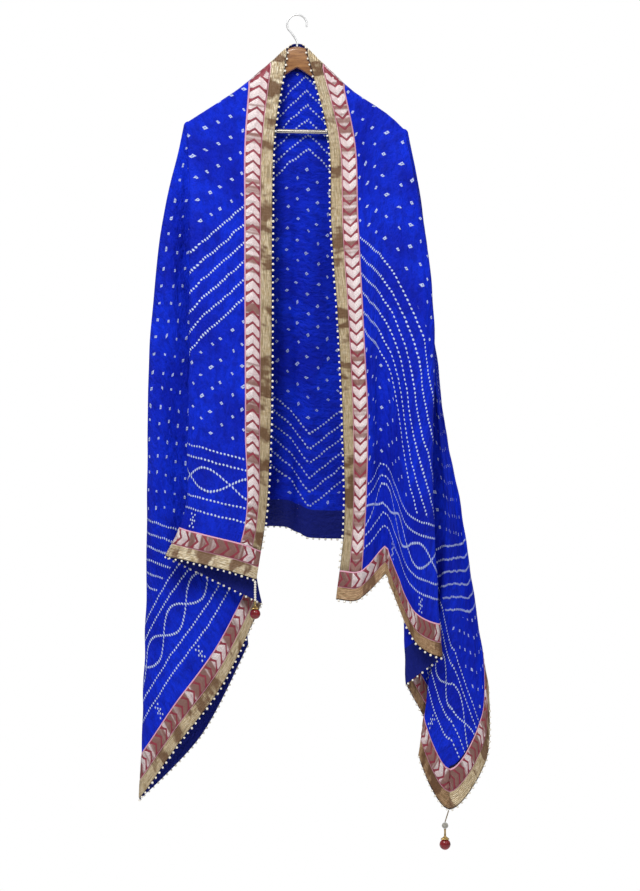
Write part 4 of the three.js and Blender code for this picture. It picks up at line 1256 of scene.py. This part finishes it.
class STOLE_OT_stage(bpy.types.Operator):
    """Sets the floor, the soft lights and the camera"""

    bl_idname = "stole.stage"
    bl_label = "Stage"

    def execute(self, context):
        scene, look = context.scene, context.scene.stole_stage
        self.floor(tuple(look.floor))
        scene.world = self.studio()
        for name, at, size, power in (*LIGHTS, ("key", KEY_AT, 1.0, look.key)):
            light = bpy.data.lights.new(name, "AREA")
            light.energy, light.size = power, size
            lamp = link(name, light)
            lamp.location = at
            lamp.rotation_euler = (Vector(LOOK_AT) - Vector(at)).to_track_quat("-Z", "Y").to_euler()
        camera = bpy.data.cameras.new("camera")
        camera.sensor_width = 36
        camera.lens = 36 * look.distance / look.view_height
        eye = link("camera", camera)
        eye.location = (CAMERA_X, -look.distance, CAMERA_Z)
        eye.rotation_euler = (math.pi / 2, 0, 0)
        scene.camera = eye
        scene.view_settings.view_transform = "Standard"
        return {"FINISHED"}

    def floor(self, pale):
        material, s, shader = new_material("floor", 0.9)
        place = s.node("ShaderNodeTexCoord").outputs["Object"]
        s.finish(shader, s.mix(s.noise(place, 1.5, 1.0), pale, tuple(c * 0.98 for c in pale)))
        points = [(x, y, -FLOOR_DROP) for x, y in ((-FLOOR_SIDE, -FLOOR_FRONT), (FLOOR_SIDE, -FLOOR_FRONT),
                                                   (FLOOR_SIDE, FLOOR_BACK), (-FLOOR_SIDE, FLOOR_BACK))]
        new_piece("floor", points, [[0, 1, 2, 3]], [material])

    def studio(self):
        """A world that lights softly from above and shows plain white to the camera."""
        world = bpy.data.worlds.new("studio")
        world.use_nodes = True
        w = Sheet(world.node_tree)
        height = w.split(w.node("ShaderNodeTexCoord").outputs["Generated"])[2]
        sky = w.mix(w.soft(height, -0.6, 0.9), (0.09, 0.09, 0.10, 1), (0.62, 0.62, 0.64, 1))
        soft, seen = w.nodes["Background"], w.node("ShaderNodeBackground")
        w.put(soft.inputs["Color"], sky)
        seen.inputs["Color"].default_value = (1, 1, 1, 1)
        both = w.node("ShaderNodeMixShader")
        w.put(both.inputs[0], w.node("ShaderNodeLightPath").outputs["Is Camera Ray"])
        w.put(both.inputs[1], soft.outputs[0])
        w.put(both.inputs[2], seen.outputs[0])
        w.put(w.nodes["World Output"].inputs["Surface"], both.outputs[0])
        return world


class STOLE_PT_panel(bpy.types.Panel):
    bl_label = "Dupatta Stole"
    bl_idname = "STOLE_PT_panel"
    bl_space_type = "VIEW_3D"
    bl_region_type = "UI"
    bl_category = "Stole"

    def draw(self, context):
        layout = self.layout
        for group in SETTINGS:
            box = layout.box()
            settings = getattr(context.scene, group)
            for key in settings.bl_rna.properties.keys():
                if key not in ("rna_type", "name"):
                    box.prop(settings, key)
        for operator in OPERATORS:
            layout.operator(operator.bl_idname)


OPERATORS = (STOLE_OT_cloth, STOLE_OT_border, STOLE_OT_nape, STOLE_OT_pearls, STOLE_OT_tassels,
             STOLE_OT_hanger, STOLE_OT_stage)
SETTINGS = {"stole_cloth": StoleCloth, "stole_border": StoleBorder, "stole_stage": StoleStage}
CLASSES = (*SETTINGS.values(), *OPERATORS, STOLE_PT_panel)


def register():
    for cls in CLASSES:
        bpy.utils.register_class(cls)
    for name, group in SETTINGS.items():
        setattr(bpy.types.Scene, name, PointerProperty(type=group))


def unregister():
    for name in SETTINGS:
        delattr(bpy.types.Scene, name)
    for cls in reversed(CLASSES):
        bpy.utils.unregister_class(cls)


def main():
    register()
    for step in ("cloth", "border", "nape", "pearls", "tassels", "hanger", "stage"):
        getattr(bpy.ops.stole, step)()


if __name__ == "__main__":
    main()
